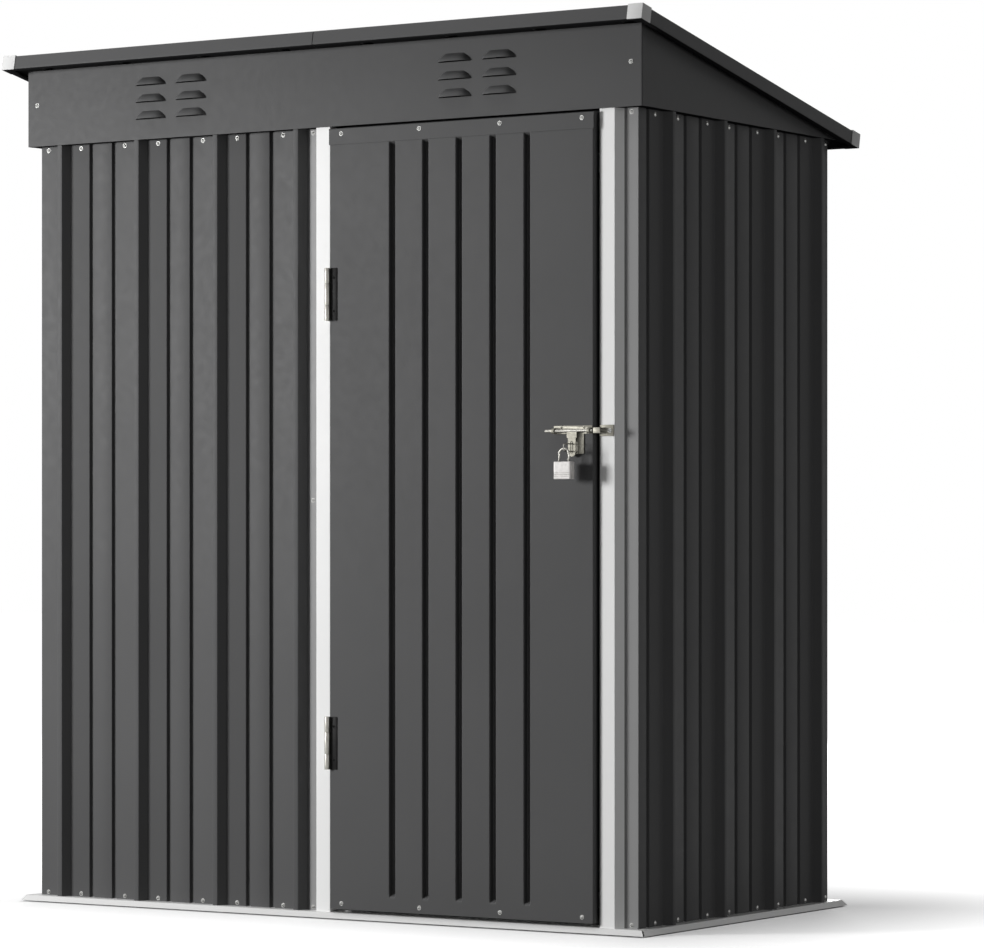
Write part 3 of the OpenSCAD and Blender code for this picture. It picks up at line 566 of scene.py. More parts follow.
# Rows run up the panel: each has a height and its share of a louvre's height, or None off a louvre
rows = [(wall_top, None), (wall_top + by_louvre_z, None)]
for row in range(louvre_rows):
    foot = wall_top + louvre_foot + row * louvre_pitch_z
    rows += [(foot - by_louvre_z, None), (foot - mouth_slit, None)]
    rows += [(foot + louvre_h * i / hood_rows, i / hood_rows) for i in range(hood_rows + 1)]
    rows.append((foot + louvre_h + by_louvre_z, None))
fascia_top = under_roof(fascia_face)
rows += [(fascia_top - by_louvre_z, None), (fascia_top, None)]

fascia_points = []
for number, (z, share) in enumerate(rows):
    for x, back, middle, across in columns:
        out = 0
        if middle is not None and share is not None:
            x = middle + hood_half(share) * across
            out = hood_out(across, share)
        top_drop = back * math.tan(roof_pitch) if number == len(rows) - 1 else 0
        fascia_points.append((x, fascia_face + back - out, z - top_drop))
fascia_faces = []
across_count = len(columns)
for r in range(len(rows) - 1):
    opens = rows[r][1] is None and rows[r + 1][1] == 0
    for c in range(across_count - 1):
        in_louvre = columns[c][2] is not None and columns[c][2] == columns[c + 1][2]
        if not (opens and in_louvre):
            first = r * across_count + c
            fascia_faces.append(
                (first, first + 1, first + across_count + 1, first + across_count)
            )
fascia_skin = bpy.data.meshes.new("fascia_skin")
fascia_skin.from_pydata(fascia_points, [], fascia_faces)


def thickened(mesh, steel):
    """Mesh of a sheet with that thickness of steel behind its faces."""
    def set_up(maker):
        maker.thickness, maker.offset = steel, -1
        maker.use_even_offset = maker.use_rim = True
    return modified(mesh, "SOLIDIFY", set_up)


def joined(meshes):
    """One mesh of several."""
    whole = bmesh.new()
    for mesh in meshes:
        whole.from_mesh(mesh)
    mesh = bpy.data.meshes.new("joined")
    whole.to_mesh(mesh)
    whole.free()
    return mesh


def folded_edge(y0, y1, z_at):
    """Mitred strip of sheet steel along the front from y0 back to y1, under the height of z_at."""
    half, edge_bend = fascia_half - sheet_steel, 0.3 * mm
    outline = rounded([
        (y0, z_at(y0)), (y1, z_at(y1)),
        (y1, z_at(y1) - sheet_steel), (y0, z_at(y0) - sheet_steel),
    ], edge_bend)
    rings = [
        [Vector((end * (half - (y - y0)), y, z)) for y, z in outline] for end in (-1, 1)
    ]
    return skinned("folded_edge", rings)


def faces_down(face):
    """Whether a face is on the underside."""
    steepest = -0.5
    return face.normal.z < steepest


fascia_inner = fascia_face + sheet_steel
# The fascia's downward faces, such as the underside of its lower lip and the lower edges of the louvre
# hoods, are painted near-black as painted shade.
recoated(fitted("fascia", joined([
    thickened(fascia_skin, sheet_steel),
    folded_edge(fascia_inner, fascia_high.y, lambda y: wall_top + sheet_steel),
    folded_edge(fascia_inner, fascia_inner + fascia_flange, under_roof),
]), grey_coat), primer_coat, faces_down)

# Gables: a plain folded panel of grey coated steel over each side, under the slope of the roof.
# The lip under it covers the upper edge of the sheets, and the flange over it carries the roof.
gable_bend = 1.5 * mm
gable_flange = 15 * mm


def gable_rings(side, outer, lip_in, y_ends):
    """The folded cross-section of a gable at its front and at its back end."""
    rings = []
    for y in y_ends:
        top = under_roof(y)
        rings.append([Vector((side * x, y, z)) for x, z in rounded([
            (outer, wall_top), (outer, top), (outer - gable_flange, top),
            (outer - gable_flange, top - sheet_steel), (outer - sheet_steel, top - sheet_steel),
            (outer - sheet_steel, wall_top + sheet_steel), (lip_in, wall_top + sheet_steel),
            (lip_in, wall_top),
        ], gable_bend)])
    return rings


for node, side in (("gable_right", 1), ("gable_left", -1)):
    low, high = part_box(node)
    lip_in, outer = sorted((abs(low.x), abs(high.x)))
    rings = gable_rings(side, outer, lip_in, (low.y, high.y))
    # The front end is cut at 45 degrees, where it meets the lip of the fascia
    rings[0] = [
        Vector((p.x, p.y + (outer - abs(p.x) if abs(p.x) < outer - gable_flange else 0), p.z))
        for p in rings[0]
    ]
    gable = fitted(node, skinned("gable", rings), grey_coat)
    # The gable's downward faces are painted near-black as painted shade.
    recoated(gable, primer_coat, faces_down)

# Roof: two corrugated halves of grey coated steel that meet over the beam. Folded trims cover the
# edges all round, mitred at the corners and parted over the joint, under white corner caps.
on_roof = Matrix.Translation((0, roof_front, roof_top)) @ Matrix.Rotation(-roof_pitch, 4, "X")
roof_half_w = cad_high.x
roof_len = (cad_high.y - roof_front) / math.cos(roof_pitch)
cap_steel = 1.5 * mm
trim_steel = 1.2 * mm
trim_flange = 30 * mm
trim_hem = 12 * mm
trim_bend = 2.5 * mm
seam_x = 16 * mm
seam_slit = 1.8 * mm
joint_half = 14 * mm
edge_steel = cap_steel + trim_steel
roof_flat_z = sheet_steel - roof_sheet_drop
lay_flat = Matrix.Rotation(-math.pi / 2, 4, "X")
roof_left_w = seam_x + roof_half_w - edge_steel
roof_values = {
    "Height": roof_len - 2 * edge_steel, "Groove Depth": 0.15 * mm, "Forms": sheet_forms,
}
for node, start, width, rib in (
    ("roof_sheet_left", edge_steel - roof_half_w, roof_left_w,
     roof_left_w - back_rib - (ribs_in_sheet - 1) * rib_pitch),
    ("roof_sheet_right", seam_x, roof_half_w - edge_steel - seam_x, back_rib),
):
    place = on_roof @ Matrix.Translation((start, edge_steel, roof_flat_z)) @ lay_flat
    roof_sheet = corrugated(node, width, {**roof_values, "First Rib": rib}, place)
    # The roof sheets' downward faces are painted near-black as painted shade.
    recoated(roof_sheet, primer_coat, faces_down)


def trim_section(inset):
    """Cross-section of a trim, or of a strip that fits inside it at that inset."""
    foot, top = inset - roof_edge_h, -cap_steel - inset
    return rounded([
        (inset, foot), (inset, top), (trim_flange, top), (trim_flange, top - trim_steel),
        (inset + trim_steel, top - trim_steel), (inset + trim_steel, foot + trim_steel),
        (trim_hem, foot + trim_steel), (trim_hem, foot),
    ], trim_bend)


trim_outline = trim_section(0)
trim_x = roof_half_w - cap_steel
trim_y = roof_len / 2 - cap_steel
to_front = on_roof @ Matrix.Translation((0, cap_steel, 0))
roof_middle = on_roof @ Matrix.Translation((0, roof_len / 2, 0))
for node, place, left, right, left_mitre, right_mitre in (
    ("roof_trim_front_left", to_front, -trim_x, seam_x - seam_slit / 2, 1, 0),
    ("roof_trim_front_right", to_front, seam_x + seam_slit / 2, trim_x, 0, 1),
    *[
        (node, roof_middle @ Matrix.Rotation(turn, 4, "Z") @ Matrix.Translation((0, -out, 0)),
         -half, half, 1, 1)
        for node, turn, out, half in (
            ("roof_trim_back", math.pi, trim_y, trim_x),
            ("roof_trim_left", -math.pi / 2, trim_x, trim_y),
            ("roof_trim_right", math.pi / 2, trim_x, trim_y),
        )
    ],
):
    trim = skinned("trim", [
        [place @ Vector((end + mitre * inwards, inwards, z)) for inwards, z in trim_outline]
        for end, mitre in ((left, left_mitre), (right, -right_mitre))
    ])
    if node == "roof_trim_front_left":
        trim = joined([trim, skinned("joint_strip", [
            [place @ Vector((x, inwards, z)) for inwards, z in trim_section(trim_steel)]
            for x in (seam_x - joint_half, seam_x + joint_half)
        ])])
    # The trims' downward faces, under their hems, are painted near-black as painted shade.
    recoated(fitted(node, trim, grey_coat), primer_coat, faces_down)


def softened(node, width, steps=2):
    """Copy of a node's mesh with its sharp edges broken to that width."""
    copy = bmesh.new()
    copy.from_mesh(nodes[node].data)
    bmesh.ops.remove_doubles(copy, verts=copy.verts, dist=0.001 * mm)
    bmesh.ops.dissolve_limit(
        copy, angle_limit=math.radians(1), verts=copy.verts, edges=copy.edges
    )
    sharp = [
        edge for edge in copy.edges
        if edge.is_manifold and edge.calc_face_angle() > math.radians(30)
    ]
    bmesh.ops.bevel(
        copy, geom=sharp, offset=width, offset_type="OFFSET", segments=steps, profile=0.5,
        affect="EDGES", clamp_overlap=True,
    )
    mesh = bpy.data.meshes.new(node)
    copy.to_mesh(mesh)
    copy.free()
    return mesh


cap_plastic = coated_steel(
    "cap_plastic", (0.60, 0.60, 0.596), (0.63, 0.63, 0.626), 0.5, 0.1, 0.3 * mm
)
roof_cap_edge = 1.2 * mm
for corner in ("front_left", "front_right", "back_left", "back_right"):
    node = "roof_cap_" + corner
    fitted(node, softened(node, roof_cap_edge, steps=3), cap_plastic)

# Door leaf: a panel of grey coated steel with both upright edges folded back and five pressed
# grooves that run out at their ends, under a folded cap that is screwed over the upper edge and
# painted near-black on top as painted shade.
door_low, door_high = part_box("door_panel")
door_bend = 1.4 * mm
door_depth = door_high.y - door_low.y
door_middle = (door_low.x + door_high.x) / 2
groove_pitch = 80 * mm
groove_half = 7.5 * mm
groove_floor_half = 5.4 * mm
groove_depth = 11 * mm
groove_foot = 29 * mm
groove_run = 9 * mm
groove_lead = 2 * mm
groove_numbers = (-2, -1, 0, 1, 2)
run_shares = (0, 0.2, 0.4, 0.6, 0.8, 1)
door_cap_bend = 2 * mm
cap_top_tilt = 0.3
cap_low, cap_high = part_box("door_cap")
groove_top = cap_low.z + sheet_steel


def door_outline(share):
    """Cross-section of the door where its grooves have that share of their depth."""
    face = [(door_low.x, door_depth), (door_low.x, 0)]
    behind = [(door_low.x + sheet_steel, door_depth), (door_low.x + sheet_steel, sheet_steel)]
    deep = share * groove_depth
    for x in [door_middle + number * groove_pitch for number in groove_numbers]:
        for line, steel in ((face, 0), (behind, sheet_steel)):
            line += [
                (x - groove_half - steel, steel), (x - groove_floor_half - steel, deep + steel),
                (x + groove_floor_half + steel, deep + steel), (x + groove_half + steel, steel),
            ]
    face += [(door_high.x, 0), (door_high.x, door_depth)]
    behind += [(door_high.x - sheet_steel, sheet_steel), (door_high.x - sheet_steel, door_depth)]
    return rounded(face + behind[::-1], door_bend)


groove_base = door_low.z + groove_foot
door_rows = [(door_low.z, 0), (groove_base - groove_lead, 0)]
door_rows += [(groove_base + groove_run * run, run * run * (3 - 2 * run)) for run in run_shares]
door_rows += [(groove_top - groove_run * run, run * run * (3 - 2 * run)) for run in run_shares[::-1]]
door_rows.append((door_high.z, 0))
fitted("door_panel", skinned("door_panel", [
    [Vector((x, door_low.y + deep, z)) for x, deep in door_outline(share)] for z, share in door_rows
]), grey_coat, "door")

door_cap_outline = rounded([
    (cap_low.y, cap_low.z), (cap_low.y, cap_high.z), (cap_high.y, cap_high.z),
    (cap_high.y, cap_low.z), (cap_high.y - sheet_steel, cap_low.z),
    (cap_high.y - sheet_steel, cap_high.z - sheet_steel),
    (cap_low.y + sheet_steel, cap_high.z - sheet_steel), (cap_low.y + sheet_steel, cap_low.z),
], door_cap_bend)
door_cap = fitted("door_cap", skinned("door_cap", [
    [Vector((x, y, z)) for y, z in door_cap_outline] for x in (cap_low.x, cap_high.x)
]), grey_coat, "door")
# The cap's upward faces are painted near-black: painted shade for the dark line under the fascia.
recoated(door_cap, primer_coat, lambda face: face.normal.z > cap_top_tilt)

# Hinges: pressed steel, each with a leaf on the post's jamb and one on the face of the door. Their
# rolled barrels turn on a pin and are zinc plated. The leaf on the door and its screws are painted
# near-black as painted shade, for the shadow that the barrel casts on them.


def plated(name, tone, roughness, metal=1.0):
    """Plated steel with fine drawn lines and a faint stain."""
    finish, tree, shader, place = new_finish(name)
    drawn = linked(tree, "ShaderNodeMapping", {"Vector": place, "Scale": (60, 900, 900)})
    lines = noise(tree, drawn.outputs["Vector"], 1.0, 3.0)
    stain = noise(tree, place, 120.0, 3.0)
    stained = [0.78 * part for part in tone]
    grain = linked(tree, "ShaderNodeBump", {"Height": lines, "Strength": 0.1, "Distance": 0.1 * mm})
    wired(tree, shader, {
        "Base Color": two_toned(tree, stain, 0.3, stained, 0.65, tone),
        "Roughness": mapped(tree, lines, roughness - 0.06, roughness + 0.08, 0.3, 0.7),
        "Normal": grain.outputs["Normal"], "Metallic": metal,
    })
    return finish


warm_zinc = plated("warm_zinc", (0.185, 0.178, 0.153), 0.5)
bright_zinc = plated("bright_zinc", (0.28, 0.273, 0.25), 0.4)
# Near-black painted shade for the door's hinge leaves and their screws, which lie in the barrels'
# shadow.
blued_steel = plated("blued_steel", (0.012, 0.012, 0.012), 0.5)
barrel_r = 5.5 * mm
barrel_margin = 0.1 * mm
hinge_edge = 0.4 * mm
for level in ("upper", "lower"):
    leaf = level + "_hinge_post_leaf"
    fitted(leaf, softened(leaf, hinge_edge), bright_zinc)
    leaf_low, leaf_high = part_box(leaf)
    barrel_x, barrel_y = leaf_high.x - barrel_r, leaf_low.y + barrel_r
    leaf = level + "_hinge_door_leaf"
    door_leaf = fitted(leaf, softened(leaf, hinge_edge), blued_steel, "door")
    recoated(door_leaf, bright_zinc, lambda face: math.hypot(
        face.center.x - barrel_x, face.center.y - barrel_y
    ) < barrel_r + barrel_margin)

# Lock: a round bolt that slides in two guides on its plate, and its keeper on the latch post. A flat
# tab hangs from the bolt, with a wire staple through its slot, and the padlock hangs in the staple.


def circle(radius, sides):
    """Points of a circle."""
    turns = [2 * math.pi * k / sides for k in range(sides)]
    return [(radius * math.cos(turn), radius * math.sin(turn)) for turn in turns]


def tube(name, path, radius, sides=12):
    """Round bar of that radius along a path of points."""
    rings = []
    for i, point in enumerate(path):
        ahead = path[min(i + 1, len(path) - 1)] - path[max(i - 1, 0)]
        turn = ahead.to_track_quat("Z", "Y")
        rings.append([point + turn @ Vector((a, b, 0)) for a, b in circle(radius, sides)])
    return skinned(name, rings)


def turned_bar(name, start, radius, length, cup):
    """Round bar along X with a shallow cup in each end."""
    sides, steps = 16, 4
    rings = []
    for end in (0, 1):
        for step in range(steps + 1):
            angle = math.pi / 2 * (step if end == 0 else steps - step) / steps
            along = cup * (1 - math.sin(angle))
            x = along if end == 0 else length - along
            rings.append([start + Vector((x, a, b)) for a, b in circle(radius - along, sides)])
    return skinned(name, rings)


satin_case = plated("satin_case", (0.80, 0.775, 0.75), 0.42, metal=0.0)
plate_edge = 0.5 * mm
keeper_edge = 0.6 * mm
fitted("bolt_plate", softened("bolt_plate", plate_edge), warm_zinc, "door")
fitted("bolt_keeper", softened("bolt_keeper", keeper_edge), warm_zinc)

bolt_low, bolt_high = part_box("bolt")
bolt_r = 3 * mm
bolt_axis = Vector((bolt_low.x, bolt_high.y - bolt_r, bolt_high.z - bolt_r))
bolt_cup = 1.5 * mm
tab_from_end = 46 * mm
tab_x = bolt_high.x - tab_from_end
tab_steel = 2.5 * mm
tab_half = 9 * mm
tab_foot = 51 * mm
flap_half = 11.5 * mm
flap_foot = 14 * mm
flap_half_steel = 1.7 * mm
flap_bend = 2 * mm
flap_draft = 0.96
slot_half = 3 * mm
slot_top = 20.5 * mm
slot_foot = 44 * mm
slot_steps = 8


def stadium(half, top, foot, steps):
    """Upright outline with round ends, from its right side round to the left and back."""
    outline = []
    for middle, sign in ((top - half, 1), (foot + half, -1)):
        for step in range(steps + 1):
            angle = math.pi * step / steps
            outline.append((sign * half * math.cos(angle), middle + sign * half * math.sin(angle)))
    return outline


tab_edge = 0.5 * mm
tab_rings = []
tab_outer = stadium(tab_half, -flap_foot + tab_half, -tab_foot, slot_steps)
tab_inner = stadium(slot_half, -slot_top, -slot_foot, slot_steps)
for (x, z), (slot_x, slot_z) in zip(tab_outer, tab_inner):
    across = Vector((x - slot_x, 0, z - slot_z)).normalized()
    outer_edge = Vector((tab_x + x, bolt_axis.y, bolt_axis.z + z))
    inner_edge = Vector((tab_x + slot_x, bolt_axis.y, bolt_axis.z + slot_z))
    depth = Vector((0, tab_steel / 2, 0))
    shy = Vector((0, tab_steel / 2 - tab_edge, 0))
    tab_rings.append([
        outer_edge - shy, outer_edge - depth - tab_edge * across,
        inner_edge - depth + tab_edge * across, inner_edge - shy,
        inner_edge + shy, inner_edge + depth + tab_edge * across,
        outer_edge + depth - tab_edge * across, outer_edge + shy,
    ])
flap_outline = rounded([
    (-flap_half, -flap_foot), (flap_half, -flap_foot), (flap_half, 0), (-flap_half, 0),
], flap_bend)
flap_rings = [
    [Vector((tab_x + x * shrink, bolt_axis.y + deep, bolt_axis.z + z)) for x, z in flap_outline]
    for deep, shrink in (
        (-flap_half_steel, flap_draft), (-tab_steel / 2, 1),
        (tab_steel / 2, 1), (flap_half_steel, flap_draft),
    )
]

wire_r = 1.25 * mm
staple_out = 25 * mm
staple_drop = 33 * mm
staple_bend = 7.25 * mm
staple_leg = 9 * mm
staple_foot = 2 * mm
staple_turn = 0.5 * mm
bend_angles = [math.pi / 2 * step / 6 for step in range(1, 6)]
staple_path = []
for sign in (1, -1):
    side_path = [
        (-tab_steel / 2 - wire_r, staple_bend + staple_leg),
        (-tab_steel / 2 - wire_r, staple_bend + staple_foot),
        (-tab_steel / 2 - 0.5 * wire_r, staple_bend + staple_turn),
        (0, staple_bend), (staple_out, staple_bend),
    ] + [
        (staple_out + staple_bend * math.sin(angle), staple_bend * math.cos(angle))
        for angle in bend_angles
    ]
    side_path = [(out, sign * up) for out, up in side_path]
    staple_path += side_path if sign > 0 else [(staple_out + staple_bend, 0)] + side_path[::-1]
staple_path = [
    Vector((tab_x, bolt_axis.y - out, bolt_axis.z - staple_drop + up)) for out, up in staple_path
]
bolt_piece = fitted("bolt", joined([
    turned_bar("rod", bolt_axis, bolt_r, bolt_high.x - bolt_low.x, bolt_cup),
    skinned("tab", tab_rings, endless=True), skinned("flap", flap_rings),
    tube("staple", staple_path, wire_r, sides=10),
]), bright_zinc, "bolt")
recoated(bolt_piece, warm_zinc, lambda face: (
    math.hypot(face.center.y - bolt_axis.y, face.center.z - bolt_axis.z) > bolt_r
    and abs(face.center.y - bolt_axis.y) < tab_steel
))

lock_low, lock_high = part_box("padlock_body")
lock_edge = 1.2 * mm
lock_corner = 4 * mm
line_deep = 0.8 * mm
line_half = 0.8 * mm
line_heights = (5 * mm, 8.5 * mm, 12 * mm)
rim_angles = [math.pi / 2 * step / 4 for step in range(5)]
case_rim = [
    (lock_edge * (1 - math.cos(angle)), lock_edge * (1 - math.sin(angle))) for angle in rim_angles
]
lock_levels = [(lock_low.z + up, inset) for up, inset in case_rim]
for height in line_heights:
    lock_levels += [
        (lock_low.z + height - line_half, 0), (lock_low.z + height, line_deep),
        (lock_low.z + height + line_half, 0),
    ]
lock_levels += [(lock_high.z - up, inset) for up, inset in case_rim[::-1]]
lock_rings = []
for z, inset in lock_levels:
    left, right = lock_low.x + inset, lock_high.x - inset
    near, far = lock_low.y + inset, lock_high.y - inset
    lock_rings.append([Vector((x, y, z)) for x, y in rounded(
        [(left, near), (right, near), (right, far), (left, far)], lock_corner - inset, steps=5
    )])
plug_r = 5.5 * mm
plug_edge = 0.4 * mm
plug_sides = 20
plug_x, plug_y = (lock_low.x + lock_high.x) / 2, (lock_low.y + lock_high.y) / 2
plug_rings = [
    [Vector((plug_x + a, plug_y + b, lock_low.z + lift)) for a, b in circle(radius, plug_sides)]
    for radius, lift in (
        (1.2 * mm, 0.6 * mm), (2 * mm, -plug_edge), (plug_r - plug_edge, -plug_edge),
        (plug_r, 0), (plug_r, 1 * mm),
    )
]
fitted("padlock_body", joined([skinned("case", lock_rings), skinned("plug", plug_rings)]),
       satin_case, "bolt")

shackle_low, shackle_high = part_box("padlock_shackle")
shackle_r = (shackle_high.y - shackle_low.y) / 2
shackle_bend = (shackle_high.x - shackle_low.x) / 2 - shackle_r
shackle_x = (shackle_low.x + shackle_high.x) / 2
shackle_y = (shackle_low.y + shackle_high.y) / 2
shackle_z = shackle_high.z - shackle_r - shackle_bend
shackle_angles = [math.pi * step / 18 for step in range(19)]
shackle_path = [
    (shackle_bend, shackle_low.z), *[
        (shackle_bend * math.cos(angle), shackle_z + shackle_bend * math.sin(angle))
        for angle in shackle_angles
    ], (-shackle_bend, shackle_low.z),
]
fitted("padlock_shackle", tube(
    "shackle", [Vector((shackle_x + x, shackle_y, z)) for x, z in shackle_path], shackle_r
), bright_zinc, "bolt")

# Screws: bright zinc pan heads with a cross recess, each on a thin washer. They hold the sheets to
# the rails, the posts to the frame, the fascia's ends, the door's cap and rail, and the fittings.
screw_zinc = plated("screw_zinc", (0.32, 0.32, 0.31), 0.46)
screws = bpy.data.node_groups.new("pan_head_screws", "GeometryNodeTree")
screws.interface.new_socket("Screws", in_out="OUTPUT", socket_type="NodeSocketGeometry")
screws.interface.new_socket("Places", in_out="INPUT", socket_type="NodeSocketGeometry")
screw_input = named_inputs(screws, (
    ("Head Radius", "Float", 3.8 * mm), ("Head Height", "Float", 2.6 * mm),
    ("Washer Radius", "Float", 4.6 * mm), ("Washer Steel", "Float", 0.8 * mm),
    ("Recess Spread", "Float", 0.25), ("Recess Length", "Float", 4.6 * mm),
    ("Recess Core", "Float", 0.2), ("Recess Depth", "Float", 1.1 * mm), ("Seed", "Int", 7),
    ("Finish", "Material", screw_zinc),
))
screw_node = nodes_in(screws)
plus, times, over, powered, rooted, size, below, above, larger = sums_in(
    screws, "ADD", "MULTIPLY", "DIVIDE", "POWER", "SQRT", "ABSOLUTE", "LESS_THAN", "GREATER_THAN",
    "MAXIMUM",
)
ball = screw_node("GeometryNodeMeshUVSphere", {
    "Segments": 24, "Rings": 10, "Radius": screw_input["Head Radius"],
})
squat_scale = screw_node("ShaderNodeCombineXYZ", {
    "X": 1.0, "Y": 1.0, "Z": over(screw_input["Head Height"], screw_input["Head Radius"]),
})
head = screw_node("GeometryNodeTransform", {"Geometry": ball, "Scale": squat_scale})

# The recess is pressed in where a face of the head lies near one of two crossed lines
head_place = screw_node("GeometryNodeInputPosition", {})
on_head = linked(screws, "ShaderNodeSeparateXYZ", {"Vector": head_place}).outputs
off_middle = rooted(plus(powered(on_head["X"], 2), powered(on_head["Y"], 2)))
off_lines = size(times(on_head["X"], on_head["Y"]))
near_lines = below(off_lines, times(powered(off_middle, 2), screw_input["Recess Spread"]))
near_middle = below(off_middle, over(screw_input["Recess Length"], 2))
at_core = below(off_middle, times(screw_input["Recess Length"], screw_input["Recess Core"]))
on_top = above(on_head["Z"], 0.0)
in_recess = times(on_top, times(larger(near_lines, at_core), near_middle))
inwards_by = screw_node("ShaderNodeCombineXYZ", {"Z": times(screw_input["Recess Depth"], -1)})
recessed = screw_node("GeometryNodeExtrudeMesh", {
    "Mesh": head, "Selection": in_recess, "Offset": inwards_by, "Offset Scale": 1.0, "Individual": False,
}, mode="FACES")
washer = screw_node("GeometryNodeMeshCylinder", {
    "Vertices": 16, "Radius": screw_input["Washer Radius"], "Depth": screw_input["Washer Steel"],
})
screw = linked(screws, "GeometryNodeJoinGeometry", {})
for solid in (recessed, washer):
    screws.links.new(solid, screw.inputs[0])
facing = screw_node("GeometryNodeInputNamedAttribute", {"Name": "facing"}, data_type="FLOAT_VECTOR")
aim = screw_node("FunctionNodeAlignRotationToVector", {"Vector": facing}, axis="Z")
set_in = screw_node("GeometryNodeInstanceOnPoints", {
    "Points": screw_input["Places"], "Instance": screw.outputs[0], "Rotation": aim,
})
any_turn = linked(
    screws, "FunctionNodeRandomValue", {"Seed": screw_input["Seed"], 3: math.pi}, data_type="FLOAT"
)
spin = screw_node("ShaderNodeCombineXYZ", {"Z": any_turn.outputs[1]})
spun = screw_node("GeometryNodeRotateInstances", {
    "Instances": set_in, "Rotation": spin, "Local Space": True,
})
real = screw_node("GeometryNodeRealizeInstances", {"Geometry": spun})
screw_finish = screw_node("GeometryNodeSetMaterial", {
    "Geometry": real, "Material": screw_input["Finish"],
})
linked(screws, "NodeGroupOutput", {"Screws": screw_finish})

screw_off_rib = 44 * mm
screw_z_low = 19.5 * mm
screw_under_top = 8 * mm
screw_z_high = wall_top - screw_under_top
screw_margin = 6 * mm
post_screw_z = 850 * mm
wall_screws = []
front_ribs = [front_rib - wall_x + number * rib_pitch for number in range(ribs_in_sheet)]
side_ribs = [side_rib - side_half + number * rib_pitch for number in range(ribs_in_sheet)]
back_ribs = [(number + 0.5) * rib_pitch for number in range(-ribs_in_sheet, ribs_in_sheet)]
for wall, ribs, limit in (
    ("front", front_ribs, front_width - wall_x), ("right", side_ribs, side_half),
    ("left", [-rib for rib in side_ribs], side_half), ("back", back_ribs, wall_x),
):
    for rib in ribs:
        for x in (rib - screw_off_rib, rib + screw_off_rib):
            if abs(x) < wall_half[wall] - screw_margin and x < limit - screw_margin:
                wall_screws += [(wall, x, 0, screw_z_low), (wall, x, 0, screw_z_high)]
hinge_flange_middle = (front_width - wall_x + hinge_flank) / 2
latch_flange_middle = (latch_flank + wall_x) / 2
for z in (screw_z_low, post_screw_z, screw_z_high):
    wall_screws.append(("front", hinge_flange_middle, sheet_steel, z))
for z in (screw_z_low, screw_z_high):
    wall_screws.append(("front", latch_flange_middle, 0, z))
fascia_screw_x = 736 * mm
fascia_screw_z = 1695 * mm
for side in (-1, 1):
    wall_screws.append(("front", side * fascia_screw_x, fascia_face - wall_front, fascia_screw_z))
keeper_low, keeper_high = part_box("bolt_keeper")
keeper_screw_in = 8 * mm
keeper_steel = 2 * mm
wall_screws.append((
    "front", keeper_high.x - keeper_screw_in, -post_out - keeper_steel,
    (keeper_low.z + keeper_high.z) / 2,
))

door_screw_columns = (28.5 * mm, 218.2 * mm, 409.5 * mm, 599.8 * mm)
door_screw_foot = 12 * mm
door_screw_head = 11.5 * mm
door_screws = []
for x in door_screw_columns:
    door_screws.append((door_low.x + x, door_low.y, door_low.z + door_screw_foot))
    door_screws.append((door_low.x + x, cap_low.y, cap_high.z - door_screw_head))
leaf_screw_off = 34 * mm
leaf_screw_in = 7.5 * mm
leaf_steel = 1.5 * mm
leaf_screws = []
for level in ("upper", "lower"):
    leaf_low, leaf_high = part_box(level + "_hinge_door_leaf")
    for off in (-leaf_screw_off, leaf_screw_off):
        leaf_screws.append((
            leaf_high.x - leaf_screw_in, door_low.y - leaf_steel, (leaf_low.z + leaf_high.z) / 2 + off
        ))
plate_low, plate_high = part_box("bolt_plate")
plate_steel = 2 * mm
upper_plate_z, lower_plate_z = plate_high.z - 3.4 * mm, plate_low.z + 13 * mm
plate_screws = [
    (plate_low.x + along, door_low.y - plate_steel, z) for along, z in (
        (18 * mm, upper_plate_z), (70 * mm, upper_plate_z), (62 * mm, lower_plate_z),
    )
]


def screw_set(name, points, directions, body, values):
    """The screws of one kind on one body, as one piece."""
    places = bpy.data.meshes.new(name)
    places.from_pydata(points, [], [])
    facing = places.attributes.new("facing", "FLOAT_VECTOR", "POINT")
    for item, direction in zip(facing.data, directions):
        item.vector = direction
    piece = smooth_piece(name, made_by(screws, values, places), body)


screw_set(
    "shed_screws",
    [on_wall[wall] @ Vector((x, inwards, z)) for wall, x, inwards, z in wall_screws],
    [on_wall[wall].to_3x3() @ Vector((0, -1, 0)) for wall, x, inwards, z in wall_screws], "shed", {},
)
small_screw = {
    "Head Radius": 2.4 * mm, "Head Height": 1.6 * mm, "Washer Radius": 2.8 * mm,
    "Recess Length": 2.9 * mm, "Recess Depth": 0.7 * mm,
}
# The hinge screws sit on the door's leaves and share their near-black painted shade.
for name, points, values in (
    ("door_screws", door_screws, {}),
    ("hinge_screws", leaf_screws, {**small_screw, "Finish": blued_steel}),
    ("plate_screws", plate_screws, {**small_screw, "Finish": warm_zinc}),
):
    screw_set(name, points, [(0, -1, 0)] * len(points), "door", values)

# Studio: a pale floor that is white away from the shed, a soft lamp at the front left, one overhead,
# weak ones at the right and behind, and a level camera at the photograph's viewing angle.


def seen_rays(tree):
    """Output that is 1 for what the camera sees, directly, in a gloss or through glass."""
    sight = linked(tree, "ShaderNodeLightPath", {}).outputs
    [larger] = sums_in(tree, "MAXIMUM")
    return larger(
        larger(sight["Is Camera Ray"], sight["Is Glossy Ray"]), sight["Is Transmission Ray"]
    )


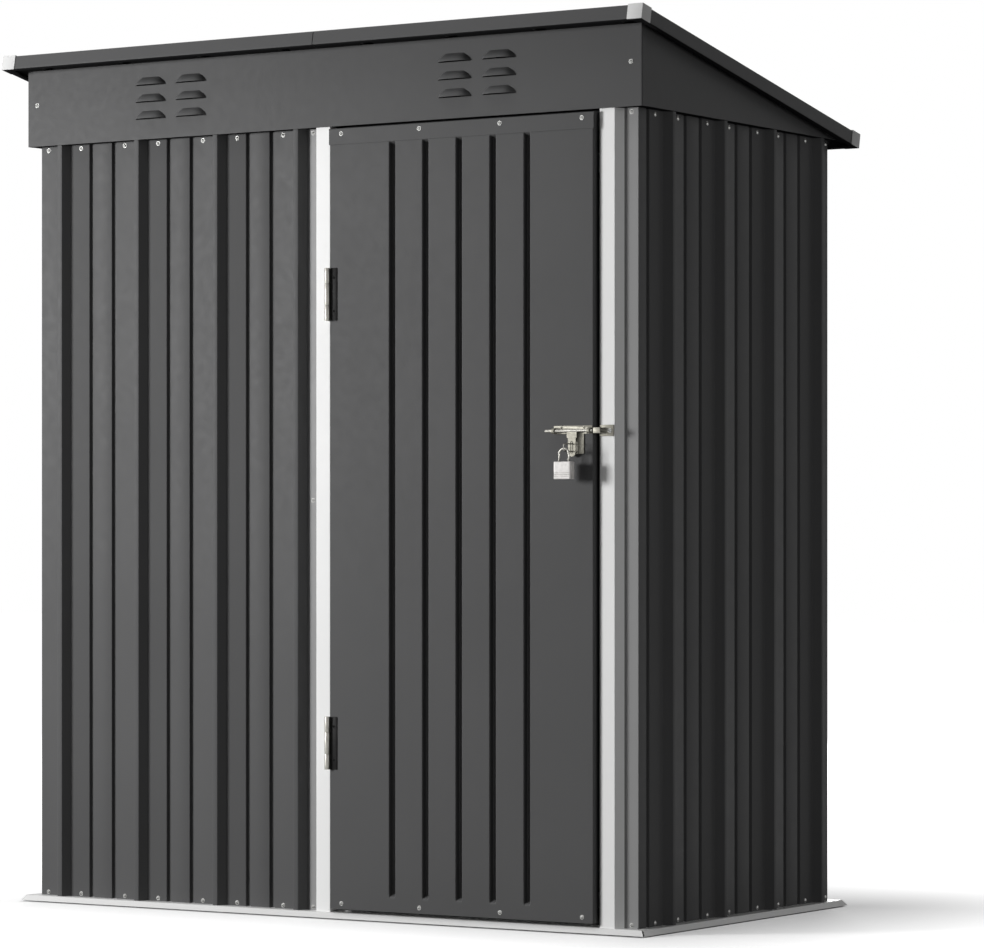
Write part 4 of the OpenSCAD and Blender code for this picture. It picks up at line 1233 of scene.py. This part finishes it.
floor_size = 30
floor_drop = 0.3 * mm
floor = in_scene("floor", bpy.data.meshes.new("floor"))
floor.data.from_pydata(
    [(x * floor_size, y * floor_size, -floor_drop) for x, y in ((-1, -1), (1, -1), (1, 1), (-1, 1))],
    [], [(0, 1, 2, 3)],
)
pale = bpy.data.materials.new("pale_floor")
pale.use_nodes = True
pale_tree = pale.node_tree
pale_tree.nodes.clear()
floor_node = nodes_in(pale_tree)
times, above = sums_in(pale_tree, "MULTIPLY", "GREATER_THAN")
floor_seen = seen_rays(pale_tree)
floor_place = linked(pale_tree, "ShaderNodeTexCoord", {}).outputs["Object"]
folded_place = floor_node("ShaderNodeVectorMath", {0: floor_place}, operation="ABSOLUTE")
from_foot = floor_node("ShaderNodeVectorMath", {
    0: folded_place, 1: (wall_x + lip_out, side_half + lip_out, 1),
}, operation="SUBTRACT")
past_foot = floor_node("ShaderNodeVectorMath", {0: from_foot, 1: (0, 0, 0)}, operation="MAXIMUM")
measured = linked(pale_tree, "ShaderNodeVectorMath", {0: past_foot}, operation="LENGTH")
reach = measured.outputs["Value"]
clear_fade = times(mapped(pale_tree, reach, 0.36, 1.0, 0.02, 0.62), above(reach))
matt = floor_node("ShaderNodeBsdfDiffuse", {"Color": mapped(pale_tree, floor_seen, 0.22, 0.8)})
lit = floor_node("ShaderNodeEmission", {"Strength": times(clear_fade, floor_seen)})
ground = floor_node("ShaderNodeAddShader", {0: matt, 1: lit})
linked(pale_tree, "ShaderNodeOutputMaterial", {"Surface": ground})
floor.data.materials.append(pale)

world = bpy.data.worlds.new("studio")
bpy.context.scene.world = world
world.use_nodes = True
sky = world.node_tree
sky.nodes.clear()
sky_node = nodes_in(sky)
soft_fill, white = [
    sky_node("ShaderNodeBackground", {"Color": (1, 1, 1, 1), "Strength": glow}) for glow in (0.06, 1.0)
]
sky_mix = sky_node("ShaderNodeMixShader", {0: seen_rays(sky), 1: soft_fill, 2: white})
linked(sky, "ShaderNodeOutputWorld", {"Surface": sky_mix})


def lamp(name, place, target, width, height, power):
    """Soft rectangular lamp that faces a point."""
    light = bpy.data.lights.new(name, "AREA")
    light.shape = "RECTANGLE"
    light.size, light.size_y, light.energy = width, height, power
    stand = in_scene(name, light)
    stand.location = place
    stand.rotation_euler = (Vector(target) - Vector(place)).to_track_quat("-Z", "Y").to_euler()


lamp("key", (-4.2, -4.7, 1.6), (0, -0.3, 1.0), 1.35, 1.35, 391)
lamp("overhead", (-1.0, -1.3, 5.0), (0, -0.3, 0), 3.0, 3.0, 80)
lamp("right_strip", (6.0, -1.5, 1.3), (0.7, 0, 1.0), 0.6, 2.2, 36)
lamp("back_fill", (-3.0, 6.5, 2.6), (0, 0.3, 1.0), 2.0, 2.0, 170)

photo_w = 984
focal_px = 4088.68
view = bpy.data.cameras.new("view")
view.sensor_width = 36.0
view.lens = focal_px / photo_w * view.sensor_width
view.shift_x, view.shift_y = -0.0044, 0.0763
view.clip_end = 100
camera = in_scene("view", view)
camera.location = (4.7945, -7.2029, 0.7503)
camera.rotation_euler = (math.radians(90), 0, math.radians(32.70))
bpy.context.scene.camera = camera
bpy.context.scene.view_settings.view_transform = "Standard"
